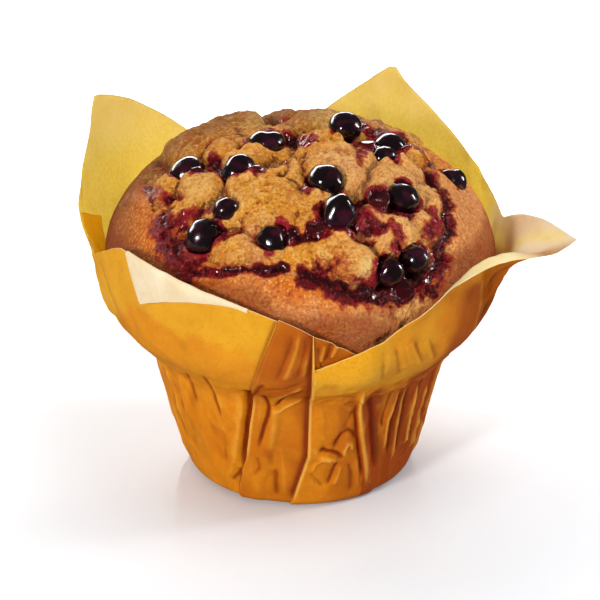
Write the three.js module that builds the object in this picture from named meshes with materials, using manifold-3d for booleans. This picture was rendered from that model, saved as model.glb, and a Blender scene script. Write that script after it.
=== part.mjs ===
// A berry muffin baked in a tulip case: one square sheet of paper pressed into a cup,
// so that its four corners stand up round the crown.
// Millimetres, +Z up. The origin is the middle of the case's underside.
// Azimuths are in degrees, anticlockwise from +X as seen from above.
import * as THREE from "three";
import { mergeVertices } from "three/addons/utils/BufferGeometryUtils.js";
import Module from "manifold-3d";

// ---- Driving dimensions ----

const footRadius = 23;
const paperThickness = 0.4;
const fitGap = 0.3;

// Lean of the case's wall: [distance up the paper from the foot, degrees out from upright].
const wallLean = [[0, 88], [3, 14], [29.5, 14], [33.5, 48], [41, 43], [50, 14]];
const petalLean = 8;
const leanBlend = 6;

// Distances up the paper where both the case and the muffin inside it have a row of points,
// then the case's own rows, as parts of what is left up to the rim.
const wallRows = [0, 1.5, 3.2, 9, 18, 29, 32, 34.5, 40, 43, 46];
const petalRows = [0.15, 0.4, 0.7, 1];

// The paper's edge, as its distance up the wall from the foot.
// Each tip falls to the valley on either side of it; a bend over 1 rounds the tip, under 1 sharpens it.
const rimTips = [
  { azimuth: -17, height: 74.5, before: { azimuth: -86, height: 47, bend: 0.75 },
    after: { azimuth: 10, height: 60.5, bend: 1 } },
  { azimuth: 62, height: 85, before: { azimuth: 10, height: 60.5, bend: 0.7 },
    after: { azimuth: 108, height: 56, bend: 1 } },
  { azimuth: 157, height: 85, before: { azimuth: 108, height: 56, bend: 1.6 },
    after: { azimuth: 190, height: 58.5, bend: 0.56 } },
  { azimuth: 217, height: 69, before: { azimuth: 190, height: 58.5, bend: 0.5 },
    after: { azimuth: 274, height: 57.5, bend: 1.5 } },
];

// Petals that lean otherwise than petalLean: degrees out from upright below and above their break,
// a distance up the wall, within a half width in degrees.
const petalTurns = [
  { azimuth: -17, low: 27, high: 64, breakAt: 58, halfWidth: 20 },
  { azimuth: 62, low: 4, high: 4, breakAt: 62, halfWidth: 22 },
  { azimuth: 168, low: 24, high: 3, breakAt: 62, halfWidth: 22 },
];

// The fourth corner is folded down over the outside of the case, between two azimuths. It hangs
// longest at its corner, never less than shortest of that, and stands off the wall once past standFrom.
// Its back sinks a little into the wall, so that the case is one sheet.
const flap = {
  from: 220, to: 254, corner: 225, length: 9.6, shortest: 0.04,
  stand: 1.3, standFrom: 3, thickness: 0.45, drop: 0.1, sink: 0.1,
};
const flapRows = [0, 0.2, 0.55, 1];
const flapColumns = 12;

// Pleats pressed into the cup: [azimuth, height of the fold, half width in degrees].
const pleats = [
  [199, 0.9, 3], [209, 0.7, 2.5], [219.5, 1.1, 3], [232, 1.1, 3.5], [240, 1.2, 2.5], [249, 1.2, 2.5],
  [258, 1, 3], [297, 1.5, 3], [307, 0.8, 2], [313, 1, 2], [319, 0.9, 2], [326, 1.1, 2.5],
];
const backPleatCount = 14;
const backPleatSpan = { from: -20, to: 180 };
const pleatBand = { from: 3, fullFrom: 11, fullTo: 31, to: 41 };

// The sheet laps over itself along one seam: height of the step, degrees over which the lap fades out,
// and how far up the wall it takes to reach its full height.
const lapSeam = { azimuth: 274, step: 1, fade: 20, rise: 10, width: 0.5 };

// The muffin's crown, and the distance from the axis within which its crust has burst into crags.
const crownRadius = 42.4;
const skirtStart = 44;
const skirtInset = 0.3;
const crownWidest = 50;
const crownRise = 25.5;
const domePower = 2.3;
const rimSlopeAt = 0.985;
const slopeStep = 0.05;
const craterRadius = 35;
const craterEdge = 4;
const crownRows = 18;

// Lumps of risen batter: [azimuth, distance from the axis, half width, rise].
const lumps = [
  [262, 15, 13, 2.6], [35, 10, 11, 2.4], [348, 26, 10, 2.2], [190, 16, 10, 1.8], [296, 33, 9, 1.8],
  [150, 18, 12, 2.2], [90, 18, 12, 2], [60, 28, 11, 1.8], [128, 27, 12, 3], [212, 30, 9, 1.6],
  [236, 24, 8, 1.4], [20, 30, 9, 1.6], [318, 20, 9, 1.6], [170, 30, 10, 1.4],
];
const hollows = [[183, 37, 14, 3.2]];
const crackDepth = 1.6;

// Berries: [azimuth, distance from the axis, half width, half height, height of the middle over the crust].
const berries = [
  [194, 24.9, 4, 3.2, 0.6], [234, 34.3, 3.9, 3.5, 0.4], [239, 29, 2.9, 2.8, 0.2], [260, 32.9, 3.7, 3.2, 0.3],
  [225, 18.3, 3.8, 3, 0.2], [186, 7.3, 3.9, 3, 0.5], [286, 19.6, 4, 3, 0.4], [286, 28.4, 4.2, 4, 0.9],
  [28, 10.8, 3.8, 3.3, -0.9], [11, 19.9, 3.9, 3, 0.4], [345, 18.5, 3, 2.4, -0.2], [319, 27.9, 3.8, 3, 0.5],
  [359, 33.1, 3, 2.8, 0.1], [298, 39, 3.2, 3.2, 0], [308, 38.6, 3.1, 3.1, 0.1],
  [66, 36, 3.8, 3.1, 0.1], [98, 33, 3.6, 3.2, 0], [119, 37.5, 3.9, 3.3, 0.2], [84, 39.5, 3, 2.7, 0],
];

const caseColumns = 96;
const muffinColumns = 64;

// ---- Small helpers ----

const degree = Math.PI / 180;

function lerp(a, b, t) {
  return a + (b - a) * t;
}

function clamp01(t) {
  return Math.min(1, Math.max(0, t));
}

function smooth(t) {
  const c = clamp01(t);
  return c * c * (3 - 2 * c);
}

// Signed turn from one azimuth to another, within half a turn either way.
function turnBetween(from, to) {
  return ((to - from + 540) % 360 + 360) % 360 - 180;
}

// Turn from one azimuth forward to another, from 0 to 360.
function turnForward(from, to) {
  return ((to - from) % 360 + 360) % 360;
}

function bump(distance, halfWidth) {
  return Math.exp(-((distance / halfWidth) ** 2));
}

// A seeded random number generator, so that every build is the same.
function makeRandom(seed) {
  let state = seed;
  return () => {
    state = (state * 1664525 + 1013904223) % 4294967296;
    return state / 4294967296;
  };
}

function polar(azimuth, radius, z) {
  return new THREE.Vector3(radius * Math.cos(azimuth * degree), radius * Math.sin(azimuth * degree), z);
}

// ---- Solids from grids ----

function indexedGeometry(points, triangles) {
  const geometry = new THREE.BufferGeometry().setFromPoints(points);
  geometry.setIndex(triangles.flat());
  return geometry;
}

// A body round the Z axis. sectionAt(azimuth) gives its section from the lower pole to the upper pole,
// with the same number of [radius, z] points at every azimuth.
function bodyRoundAxis(azimuths, sectionAt) {
  const points = [];
  const triangles = [];
  const sections = azimuths.map(sectionAt);
  const inner = sections[0].length - 2;
  const count = azimuths.length;
  sections.forEach((section, column) => {
    section.slice(1, -1).forEach(([radius, z]) => points.push(polar(azimuths[column], radius, z)));
  });
  const lowerPole = points.push(new THREE.Vector3(0, 0, sections[0][0][1])) - 1;
  const upperPole = points.push(new THREE.Vector3(0, 0, sections[0].at(-1)[1])) - 1;
  for (let column = 0; column < count; column += 1) {
    const here = column * inner;
    const next = ((column + 1) % count) * inner;
    triangles.push([lowerPole, next, here]);
    triangles.push([upperPole, here + inner - 1, next + inner - 1]);
    for (let row = 0; row < inner - 1; row += 1) {
      triangles.push([here + row, next + row, next + row + 1]);
      triangles.push([here + row, next + row + 1, here + row + 1]);
    }
  }
  return indexedGeometry(points, triangles);
}

// A closed plate between two grids of points that face each other.
function plateBetween(front, back) {
  const rows = front.length;
  const columns = front[0].length;
  const points = [...front.flat(), ...back.flat()];
  const triangles = [];
  const behind = rows * columns;
  const at = (row, column) => row * columns + column;
  for (let row = 0; row < rows - 1; row += 1) {
    for (let column = 0; column < columns - 1; column += 1) {
      const [a, b] = [at(row, column), at(row, column + 1)];
      const [c, d] = [at(row + 1, column + 1), at(row + 1, column)];
      triangles.push([a, b, c], [a, c, d]);
      triangles.push([behind + a, behind + c, behind + b], [behind + a, behind + d, behind + c]);
    }
  }
  const border = [];
  for (let column = 0; column < columns; column += 1) border.push(at(0, column));
  for (let row = 1; row < rows; row += 1) border.push(at(row, columns - 1));
  for (let column = columns - 2; column >= 0; column -= 1) border.push(at(rows - 1, column));
  for (let row = rows - 2; row > 0; row -= 1) border.push(at(row, 0));
  border.forEach((a, k) => {
    const b = border[(k + 1) % border.length];
    triangles.push([a, behind + b, b], [a, behind + a, behind + b]);
  });
  return indexedGeometry(points, triangles);
}

// ---- Joining and cutting ----

const wasm = await Module();
wasm.setup();

function toManifold(geometry) {
  const bare = geometry.clone();
  bare.deleteAttribute("normal");
  bare.deleteAttribute("uv");
  const merged = mergeVertices(bare, 1e-4);
  return new wasm.Manifold(new wasm.Mesh({
    numProp: 3,
    vertProperties: new Float32Array(merged.attributes.position.array),
    triVerts: new Uint32Array(merged.index.array),
  }));
}

function toGeometry(manifold) {
  const mesh = manifold.getMesh();
  const geometry = new THREE.BufferGeometry();
  geometry.setAttribute("position", new THREE.BufferAttribute(mesh.vertProperties, 3));
  geometry.setIndex(new THREE.BufferAttribute(mesh.triVerts, 1));
  geometry.computeVertexNormals();
  return geometry;
}

// ---- Paper case ----

function rimHeight(azimuth) {
  for (const tip of rimTips) {
    const turn = turnBetween(tip.azimuth, azimuth);
    const side = turn < 0 ? tip.before : tip.after;
    const span = turnBetween(tip.azimuth, side.azimuth);
    const part = turn / span;
    if (part >= 0 && part < 1) return lerp(tip.height, side.height, part ** side.bend);
  }
  return rimTips[0].before.height;
}

function leanAt(azimuth, distance) {
  const last = wallLean.at(-1);
  if (distance >= last[0]) {
    let lean = petalLean;
    for (const turn of petalTurns) {
      const turned = lerp(turn.low, turn.high, smooth((distance - turn.breakAt) / leanBlend));
      lean += (turned - petalLean) * bump(turnBetween(turn.azimuth, azimuth), turn.halfWidth);
    }
    return lerp(last[1], lean, smooth((distance - last[0]) / leanBlend));
  }
  const k = wallLean.findIndex((stop) => stop[0] > distance);
  const [a, b] = [wallLean[k - 1], wallLean[k]];
  return lerp(a[1], b[1], (distance - a[0]) / (b[0] - a[0]));
}

// Points up the outside of the wall at one azimuth, for a rising list of distances up the paper.
function wallPath(azimuth, distances) {
  const stride = 0.25;
  let [radius, z, distance] = [footRadius, 0, 0];
  return distances.map((goal) => {
    while (distance < goal - 1e-9) {
      const step = Math.min(stride, goal - distance);
      const lean = leanAt(azimuth, distance + step / 2) * degree;
      radius += step * Math.sin(lean);
      z += step * Math.cos(lean);
      distance += step;
    }
    return { radius, z, distance, lean: leanAt(azimuth, distance) * degree };
  });
}

// The pleats round the back are like those in front, unevenly spaced.
function makeBackPleats() {
  const random = makeRandom(11);
  const spacing = (backPleatSpan.to - backPleatSpan.from) / backPleatCount;
  return Array.from({ length: backPleatCount }, (_, k) => {
    const azimuth = backPleatSpan.from + (k + lerp(0.3, 0.7, random())) * spacing;
    return [azimuth, lerp(0.7, 1.3, random()), lerp(2.2, 3.6, random())];
  });
}

const allPleats = [...pleats, ...makeBackPleats()];

// How far the paper stands out from the smooth cup: pleats, and the step where the sheet laps over itself.
function paperRelief(azimuth, distance) {
  const fadeIn = smooth((distance - pleatBand.from) / (pleatBand.fullFrom - pleatBand.from));
  const fadeOut = smooth((pleatBand.to - distance) / (pleatBand.to - pleatBand.fullTo));
  const heights = allPleats.map(([middle, rise, halfWidth]) => {
    return rise * bump(turnBetween(middle, azimuth), halfWidth);
  });
  const pastSeam = turnForward(lapSeam.azimuth, azimuth);
  const lap = lapSeam.step * clamp01(1 - pastSeam / lapSeam.fade) * smooth(distance / lapSeam.rise);
  return Math.max(...heights) * fadeIn * fadeOut + lap;
}

// Offset of a wall point along the wall's outward normal.
function offsetPoint(point, distance) {
  return [point.radius + distance * Math.cos(point.lean), point.z - distance * Math.sin(point.lean)];
}

function caseDistances(azimuth) {
  const rim = rimHeight(azimuth);
  return [...wallRows, ...petalRows.map((part) => lerp(wallRows.at(-1), rim, part))];
}

function caseSection(azimuth) {
  const path = wallPath(azimuth, caseDistances(azimuth));
  const outside = path.map((point) => offsetPoint(point, paperRelief(azimuth, point.distance)));
  const inside = path.map((point) => {
    return offsetPoint(point, paperRelief(azimuth, point.distance) - paperThickness);
  });
  return [[0, 0], ...outside, ...inside.reverse(), [0, paperThickness]];
}

// Evenly spaced columns, with a close pair at the seam, where the rim drops in one step.
function caseAzimuths() {
  const spacing = 360 / caseColumns;
  const even = Array.from({ length: caseColumns }, (_, k) => k * spacing);
  const clear = even.filter((azimuth) => Math.abs(azimuth - lapSeam.azimuth) > spacing / 3);
  const pair = [lapSeam.azimuth - lapSeam.width, lapSeam.azimuth];
  return [...clear, ...pair].sort((a, b) => a - b);
}

// Length of the folded corner below the ridge of its fold. It never ends in a point of no length.
function flapLength(azimuth) {
  const rising = (azimuth - flap.from) / (flap.corner - flap.from);
  const falling = (flap.to - azimuth) / (flap.to - flap.corner);
  return flap.length * Math.max(flap.shortest, Math.min(rising, falling));
}

// One point of the flap, part of the way down from the ridge, and depth below its outer face.
function flapPoint(azimuth, part, depth) {
  const [ridge] = wallPath(azimuth, [rimHeight(azimuth)]);
  const length = flapLength(azimuth);
  const stand = flap.stand * Math.sqrt(part) * Math.min(1, length / flap.standFrom);
  const [radius] = offsetPoint(ridge, stand);
  return polar(azimuth, radius + flap.thickness - depth, ridge.z - flap.drop - length * part);
}

function flapGeometry() {
  const azimuths = Array.from({ length: flapColumns + 1 }, (_, k) => {
    return lerp(flap.from, flap.to, k / flapColumns);
  });
  const rowAt = (part, depth) => azimuths.map((azimuth) => flapPoint(azimuth, part, depth));
  const faceAt = (depth) => flapRows.toReversed().map((part) => rowAt(part, depth));
  return plateBetween(faceAt(0), faceAt(flap.thickness + flap.sink));
}

function makePaperCase() {
  const cup = toManifold(bodyRoundAxis(caseAzimuths(), caseSection));
  return toGeometry(cup.add(toManifold(flapGeometry())));
}

// ---- Muffin ----

// The crown without its lumps: height over the axis distance.
function domeHeight(distance) {
  const t = Math.min(1, distance / crownRadius);
  return crownWidest + crownRise * Math.sqrt(1 - t ** domePower);
}

function domePoint(azimuth, distance) {
  return polar(azimuth, distance, domeHeight(distance));
}

function domeNormal(azimuth, distance) {
  const near = Math.min(distance, crownRadius * rimSlopeAt);
  const slope = (domeHeight(near + slopeStep) - domeHeight(near - slopeStep)) / (2 * slopeStep);
  return polar(azimuth, -slope, 1).normalize();
}

const lumpCentres = lumps.map(([azimuth, distance, halfWidth, rise]) => {
  return { centre: domePoint(azimuth, distance), halfWidth, rise };
});

const hollowCentres = hollows.map(([azimuth, distance, halfWidth, depth]) => {
  return { centre: domePoint(azimuth, distance), halfWidth, depth };
});

// Height of the crags over the smooth crown: the highest lump wins, and lumps part at a crack.
function cragHeight(point) {
  const heights = lumpCentres.map((lump) => {
    const near = point.distanceTo(lump.centre) / lump.halfWidth;
    return (lump.rise + crackDepth) * Math.sqrt(Math.max(0, 1 - near * near));
  });
  const sags = hollowCentres.map((hollow) => {
    return hollow.depth * bump(point.distanceTo(hollow.centre), hollow.halfWidth);
  });
  const fromAxis = Math.hypot(point.x, point.y);
  const inside = smooth((craterRadius + craterEdge - fromAxis) / (2 * craterEdge));
  return (Math.max(...heights) - crackDepth) * inside - sags.reduce((sum, sag) => sum + sag, 0);
}

function muffinSection(azimuth) {
  const inset = -(paperThickness + fitGap);
  const wall = wallPath(azimuth, wallRows).map((point) => offsetPoint(point, inset));
  const skirt = [[crownRadius - skirtInset, skirtStart], [crownRadius, crownWidest]];
  const crown = [];
  for (let row = 1; row < crownRows; row += 1) {
    const distance = crownRadius * Math.cos((row / crownRows) * 90 * degree);
    const base = domePoint(azimuth, distance);
    const raised = base.addScaledVector(domeNormal(azimuth, distance), cragHeight(base));
    crown.push([Math.hypot(raised.x, raised.y), raised.z]);
  }
  const apex = domePoint(0, 0);
  return [[0, paperThickness + fitGap], ...wall, ...skirt, ...crown, [0, apex.z + cragHeight(apex)]];
}

// ---- Berries ----

function berryGeometry(halfWidth, halfHeight, grow) {
  const geometry = new THREE.IcosahedronGeometry(1, 1);
  geometry.scale(halfWidth + grow, halfWidth + grow, halfHeight + grow);
  return geometry;
}

// Places an object on the crown, its own Z along the crust's normal.
function placeOnCrown(object, azimuth, distance, over) {
  const base = domePoint(azimuth, distance);
  const normal = domeNormal(azimuth, distance);
  object.position.copy(base).addScaledVector(normal, cragHeight(base) + over);
  object.quaternion.setFromUnitVectors(new THREE.Vector3(0, 0, 1), normal);
  object.updateMatrix();
}

// ---- Materials ----

const paperMaterial = new THREE.MeshStandardMaterial({ color: 0xe0a040, roughness: 0.75, metalness: 0 });
const crumbMaterial = new THREE.MeshStandardMaterial({ color: 0xc4803c, roughness: 0.9, metalness: 0 });
const berryMaterial = new THREE.MeshStandardMaterial({ color: 0x1c0a12, roughness: 0.25, metalness: 0 });

// ---- Assembly ----

const group = new THREE.Group();

const paperCase = new THREE.Mesh(makePaperCase(), paperMaterial);
paperCase.name = "paper_case";
group.add(paperCase);

const muffinAzimuths = Array.from({ length: muffinColumns }, (_, k) => (k * 360) / muffinColumns);
let muffinSolid = toManifold(bodyRoundAxis(muffinAzimuths, muffinSection));

berries.forEach(([azimuth, distance, halfWidth, halfHeight, over], k) => {
  const berry = new THREE.Mesh(berryGeometry(halfWidth, halfHeight, 0), berryMaterial);
  berry.name = `berry_${String(k + 1).padStart(2, "0")}`;
  placeOnCrown(berry, azimuth, distance, over);
  group.add(berry);
  const socket = berryGeometry(halfWidth, halfHeight, fitGap).applyMatrix4(berry.matrix);
  muffinSolid = muffinSolid.subtract(toManifold(socket));
});

const muffin = new THREE.Mesh(toGeometry(muffinSolid), crumbMaterial);
muffin.name = "muffin";
group.add(muffin);

export default group;
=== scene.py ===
import math
import bmesh
import bpy
import numpy as np
from mathutils import Matrix, Vector


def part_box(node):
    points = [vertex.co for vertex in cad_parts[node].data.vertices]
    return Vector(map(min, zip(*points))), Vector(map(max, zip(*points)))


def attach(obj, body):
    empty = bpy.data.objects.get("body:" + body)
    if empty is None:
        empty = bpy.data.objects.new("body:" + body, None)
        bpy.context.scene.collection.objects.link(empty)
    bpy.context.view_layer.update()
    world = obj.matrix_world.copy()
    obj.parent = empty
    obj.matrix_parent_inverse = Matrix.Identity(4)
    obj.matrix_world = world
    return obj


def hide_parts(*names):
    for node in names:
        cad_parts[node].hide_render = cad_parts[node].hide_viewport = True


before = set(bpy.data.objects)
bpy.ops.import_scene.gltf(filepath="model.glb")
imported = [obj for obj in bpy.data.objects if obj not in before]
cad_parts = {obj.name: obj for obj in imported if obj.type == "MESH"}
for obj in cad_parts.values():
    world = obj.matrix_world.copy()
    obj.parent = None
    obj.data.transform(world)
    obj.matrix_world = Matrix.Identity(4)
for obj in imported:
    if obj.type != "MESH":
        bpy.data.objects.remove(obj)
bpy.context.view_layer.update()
print("frame loaded:", len(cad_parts), "nodes")

mm = 0.001
degree = math.pi / 180


# shared shapes: everything below works in millimetres and goes to metres when a mesh is made

def lerp(a, b, t):
    return a + (b - a) * t


def smooth(t):
    t = np.clip(t, 0.0, 1.0)
    return t * t * (3 - 2 * t)


def rising(value, low, high):  # 0 up to low, 1 from high on, eased between
    return smooth((value - low) / (high - low))


def falling(value, low, high):  # 1 up to low, 0 from high on
    return 1 - rising(value, low, high)


def within(value, low, fullFrom, fullTo, high):  # 1 between the middle two, 0 beyond the outer two
    return rising(value, low, fullFrom) * falling(value, fullTo, high)


def hill(distance, width):
    return np.exp(-(distance / width) ** 2)


def turnBetween(a, b):  # signed degrees from a to b, the short way
    return (np.asarray(b) - a + 540.0) % 360.0 - 180.0


def curveAt(points, where):  # reads a broken line that is given by its points
    return np.interp(where, [p[0] for p in points], [p[1] for p in points])


def turned(radius, azimuth, height):  # points from radius, azimuth and height
    x, y = radius * np.cos(azimuth * degree), radius * np.sin(azimuth * degree)
    return np.stack([x, y, height + 0 * azimuth], -1)


hashing = {"axes": (374761393, 668265263, 1440662683), "seed": 974634721, "mix": 1274126177,
           "mask": 0xFFFFFFFF}


def hashed(cell, seed):  # a random whole number for each cell of space
    code = (cell @ np.array(hashing["axes"]) + seed * hashing["seed"]) & hashing["mask"]
    code = ((code ^ (code >> 13)) * hashing["mix"]) & hashing["mask"]
    return code ^ (code >> 16)


def threeShares(code, bits):  # three numbers from 0 to 1 out of one whole number
    full = 2 ** bits - 1
    return np.stack([((code >> bits * k) & full) / full for k in range(3)], 1)


def grainNoise(points, size, seed):  # smooth gradient noise, about -1 to 1, with cells of that size
    scaled = np.asarray(points, float) / size
    cell = np.floor(scaled).astype(np.int64)
    part = scaled - cell
    ease = part * part * part * (part * (part * 6 - 15) + 10)
    total = np.zeros(len(scaled))
    for corner in range(8):
        step = np.array([corner & 1, (corner >> 1) & 1, (corner >> 2) & 1])
        tilt = 2 * threeShares(hashed(cell + step, seed), 8) - 1
        weight = np.prod(np.where(step == 1, ease, 1 - ease), axis=1)
        total += weight * (tilt * (part - step)).sum(1)
    return total * 1.3


def summedNoise(points, waves):  # waves: height, size, seed
    return sum(height * grainNoise(points, size, seed) for height, size, seed in waves)


def noiseVector(points, size, seed):
    return np.stack([grainNoise(points, size, seed + k) for k in range(3)], 1)


def nearCells(points, size, seed):  # for each cell around: the distance to its random spot, and its code
    scaled = np.asarray(points, float) / size
    cell = np.floor(scaled).astype(np.int64)
    for number in range(27):
        at = cell + np.array([number // 9, number // 3 % 3, number % 3]) - 1
        code = hashed(at, seed)
        yield np.linalg.norm(scaled - (at + threeShares(code, 10)), axis=1), code


def cellPits(points, size, seed):  # distance to the nearest of scattered spots, in cells
    nearest = np.full(len(points), 3.0)
    for gap, _ in nearCells(points, size, seed):
        nearest = np.minimum(nearest, gap)
    return nearest


def cellSteps(points, size, seed):  # a random level for each little cell, and how near its border is
    nearest, second = np.full(len(points), 9.0), np.full(len(points), 9.0)
    level = np.zeros(len(points))
    for gap, code in nearCells(points, size, seed):
        closer = gap < nearest
        second = np.where(closer, nearest, np.minimum(second, gap))
        level = np.where(closer, ((code >> 5) & 511) / 511, level)
        nearest = np.where(closer, gap, nearest)
    return level, second - nearest


def lineDistance(points, line):  # distance to a line through several points, and how far along it, 0 to 1
    line = np.asarray(line, float)
    lengths = np.linalg.norm(np.diff(line, axis=0), axis=1)
    best, along = np.full(len(points), 1e9), np.zeros(len(points))
    passed = 0.0
    for start, end, length in zip(line[:-1], line[1:], lengths):
        way = end - start
        t = np.clip(((points - start) @ way) / max(length * length, 1e-9), 0, 1)
        gap = np.linalg.norm(points - (start + t[:, None] * way), axis=1)
        closer = gap < best
        best = np.where(closer, gap, best)
        along = np.where(closer, (passed + t * length) / lengths.sum(), along)
        passed += length
    return best, along


def taperAt(along, length, start=0.0):  # a line's ends run out
    return smooth(np.minimum(along, 1 - along) / length + start)


def gridFaces(rows, columns, closed=False, flip=False, offset=0):
    index = np.arange(rows * columns).reshape(rows, columns) + offset
    if closed:
        index = np.concatenate([index, index[:, :1]], 1)
    corners = [index[:-1, :-1], index[:-1, 1:], index[1:, 1:], index[1:, :-1]]
    return np.stack(corners[::-1] if flip else corners, -1).reshape(-1, 4).tolist()


def makeMesh(name, points, faces, values=None, slots=None):  # values are painted on its points
    mesh = bpy.data.meshes.new(name)
    mesh.from_pydata((np.asarray(points) * mm).tolist(), [], faces)
    for key, value in (values or {}).items():
        layer = mesh.attributes.new(key, "FLOAT", "POINT")
        layer.data.foreach_set("value", np.asarray(value, np.float32))
    if slots is not None:
        mesh.polygons.foreach_set("material_index", np.asarray(slots, np.int32))
    mesh.polygons.foreach_set("use_smooth", np.ones(len(mesh.polygons), bool))
    mesh.update()
    piece = bpy.data.objects.new(name, mesh)
    bpy.context.scene.collection.objects.link(piece)
    return piece


# material helpers

def addNode(tree, kind, links=None, **values):
    node = tree.nodes.new(kind)
    for key, value in values.items():
        setattr(node, key, value)
    for key, value in (links or {}).items():
        socket = node.inputs[key]
        if isinstance(value, bpy.types.NodeSocket):
            tree.links.new(value, socket)
        else:
            socket.default_value = value
    return node


def linear(red, green, blue):  # a colour as painted, 0 to 255, for a shader socket
    def one(v):
        v = v / 255
        return v / 12.92 if v <= 0.04045 else ((v + 0.055) / 1.055) ** 2.4
    return (one(red), one(green), one(blue), 1.0)


def blendColour(tree, a, b, amount):
    return addNode(tree, "ShaderNodeMix", {0: amount, 6: a, 7: b}, data_type="RGBA").outputs[2]


def coated(tree, colour, *coats):  # coats laid over a colour one after another, each a paint and its mask
    for paint, mask in coats:
        colour = blendColour(tree, colour, linear(*paint), mask)
    return colour


def combine(tree, a, b, operation="MULTIPLY", clamp=False):
    return addNode(tree, "ShaderNodeMath", {0: a, 1: b}, operation=operation, use_clamp=clamp).outputs[0]


def stretch(tree, value, low, high, toLow=0.0, toHigh=1.0):
    links = {"Value": value, "From Min": low, "From Max": high, "To Min": toLow, "To Max": toHigh}
    return addNode(tree, "ShaderNodeMapRange", links, interpolation_type="SMOOTHSTEP").outputs["Result"]


def painted(tree, *names):
    return [addNode(tree, "ShaderNodeAttribute", attribute_name=name).outputs["Fac"] for name in names]


def bumped(tree, height, strength, distance):
    links = {"Height": height, "Strength": strength, "Distance": distance}
    return addNode(tree, "ShaderNodeBump", links).outputs[0]


def newMaterial(name):
    material = bpy.data.materials.new(name)
    material.use_nodes = True
    tree = material.node_tree
    tree.nodes.clear()
    return material, tree, addNode(tree, "ShaderNodeOutputMaterial").inputs["Surface"]


def makeMottleGroup():  # cloudy patches with fine grain over them, for every finish here
    group = bpy.data.node_groups.new("mottle", "ShaderNodeTree")
    for name, value in (("Cloud Scale", 90.0), ("Grain Scale", 900.0), ("Grain Share", 0.4)):
        group.interface.new_socket(name, in_out="INPUT", socket_type="NodeSocketFloat").default_value = value
    for name in ("Mask", "Height"):
        group.interface.new_socket(name, in_out="OUTPUT", socket_type="NodeSocketFloat")
    given = addNode(group, "NodeGroupInput").outputs
    place = addNode(group, "ShaderNodeTexCoord").outputs["Object"]
    cloud = addNode(group, "ShaderNodeTexNoise", {
        "Vector": place, "Scale": given["Cloud Scale"], "Detail": 3.0})
    grain = addNode(group, "ShaderNodeTexNoise", {
        "Vector": place, "Scale": given["Grain Scale"], "Detail": 4.0, "Roughness": 0.65})
    mixed = addNode(group, "ShaderNodeMix", {
        0: given["Grain Share"], 2: cloud.outputs["Fac"], 3: grain.outputs["Fac"]})
    addNode(group, "NodeGroupOutput", {
        "Mask": stretch(group, mixed.outputs[0], 0.3, 0.7), "Height": grain.outputs["Fac"]})
    return group


mottle = makeMottleGroup()


def mottled(tree, cloud, grain, share):  # the mask of the patches, and the height of the grain
    links = {"Cloud Scale": cloud, "Grain Scale": grain, "Grain Share": share}
    node = addNode(tree, "ShaderNodeGroup", links, node_tree=mottle)
    return node.outputs["Mask"], node.outputs["Height"]


# the sheet of paper

sheet = {
    "footRadius": 23.0,
    "thickness": 0.17,
    "lean": [(0, 88), (3, 14), (29.5, 14), (33.5, 48), (41, 43), (50, 14)],  # distance up the wall, degrees
    "petalFrom": 50.0, "petalLean": 8.0, "leanBlend": 6.0,
    # how petals lean: azimuth, degrees below and above the turn, distance to it, width
    "petalTurns": [(-17, 27, 64, 58, 20), (62, 4, 4, 62, 22), (168, 24, 3, 62, 22)],
    "wallStep": 0.25, "wallTo": 93,
    "tips": [  # azimuth, height, then the valley before and after: azimuth, height, bend
        (-17, 74.5, (-86, 48.4, 0.8), (10, 60.5, 1.0)),
        (62, 85, (10, 60.5, 0.7), (108, 56, 1.0)),
        (157, 85, (108, 56, 1.6), (190, 58.5, 0.56)),
        (217, 69, (190, 58.5, 1.1), (274, 57.5, 1.5)),
    ],
    "lowestRim": 48.4,
    "middleRim": [(256, 61.6), (264.4, 61.3), (270, 59.1), (273.4, 57.3), (277.8, 55.2), (281.9, 53.1),
                  (289, 49.2)],
    "rimWaves": [(0.35, 9, 51), (0.12, 3, 52)],
    "steadyRows": 86, "steadyTo": 40.0, "petalRows": 33, "climbTo": 62.0,
    # edges of the two laps: distance up the wall, azimuth
    "frontEdge": [(0, 264), (3.4, 266.6), (16.2, 273.4), (37, 273.8), (49, 273.5)],
    "sideEdge": [(0, 238.5), (6.5, 240.5), (16, 246.8), (25, 250), (38, 254.5), (52.7, 260.8), (61, 264.4)],
    "frontTuck": 15.0, "sideTuck": 8.0, "layer": 0.36, "edgeLift": 0.95,
    # where the front lap steps down past its tuck
    "foldLine": [(0, 307), (6, 305), (21, 298), (36, 292.5), (49, 291.5)], "foldWidth": 5.5,
    "back": (-30, 188), "columns": {"front": 112, "back": 100, "left": 84, "middle": 62},
    # the right petal's edge stands higher and rolls outward
    "roll": {"at": -38, "spread": 14, "extra": 8.5, "length": 4.5, "angle": 52},
    "baseRings": [0.72, 0.4, 0.12, 0.02], "baseRise": 0.5,
}


def makeWallTable():
    step, blend = sheet["wallStep"], sheet["leanBlend"]
    azimuths = np.arange(0, 361.0)
    middles = np.arange(step / 2, sheet["wallTo"], step)
    petal = np.full((len(azimuths), len(middles)), sheet["petalLean"])
    for middle, below, above, breakAt, width in sheet["petalTurns"]:
        bent = lerp(below, above, rising(middles, breakAt, breakAt + blend))[None, :]
        petal += (bent - sheet["petalLean"]) * hill(turnBetween(middle, azimuths), width)[:, None]
    upper = lerp(sheet["lean"][-1][1], petal, rising(middles, sheet["petalFrom"], sheet["petalFrom"] + blend))
    lean = np.where(middles < sheet["petalFrom"], curveAt(sheet["lean"], middles), upper) * degree
    start = np.zeros((len(azimuths), 1))
    radius = sheet["footRadius"] + np.concatenate([start, np.cumsum(step * np.sin(lean), axis=1)], 1)
    height = np.concatenate([start, np.cumsum(step * np.cos(lean), axis=1)], 1)
    return radius, height, np.concatenate([lean[:, :1], lean], 1)


wallTable = makeWallTable()


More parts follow.
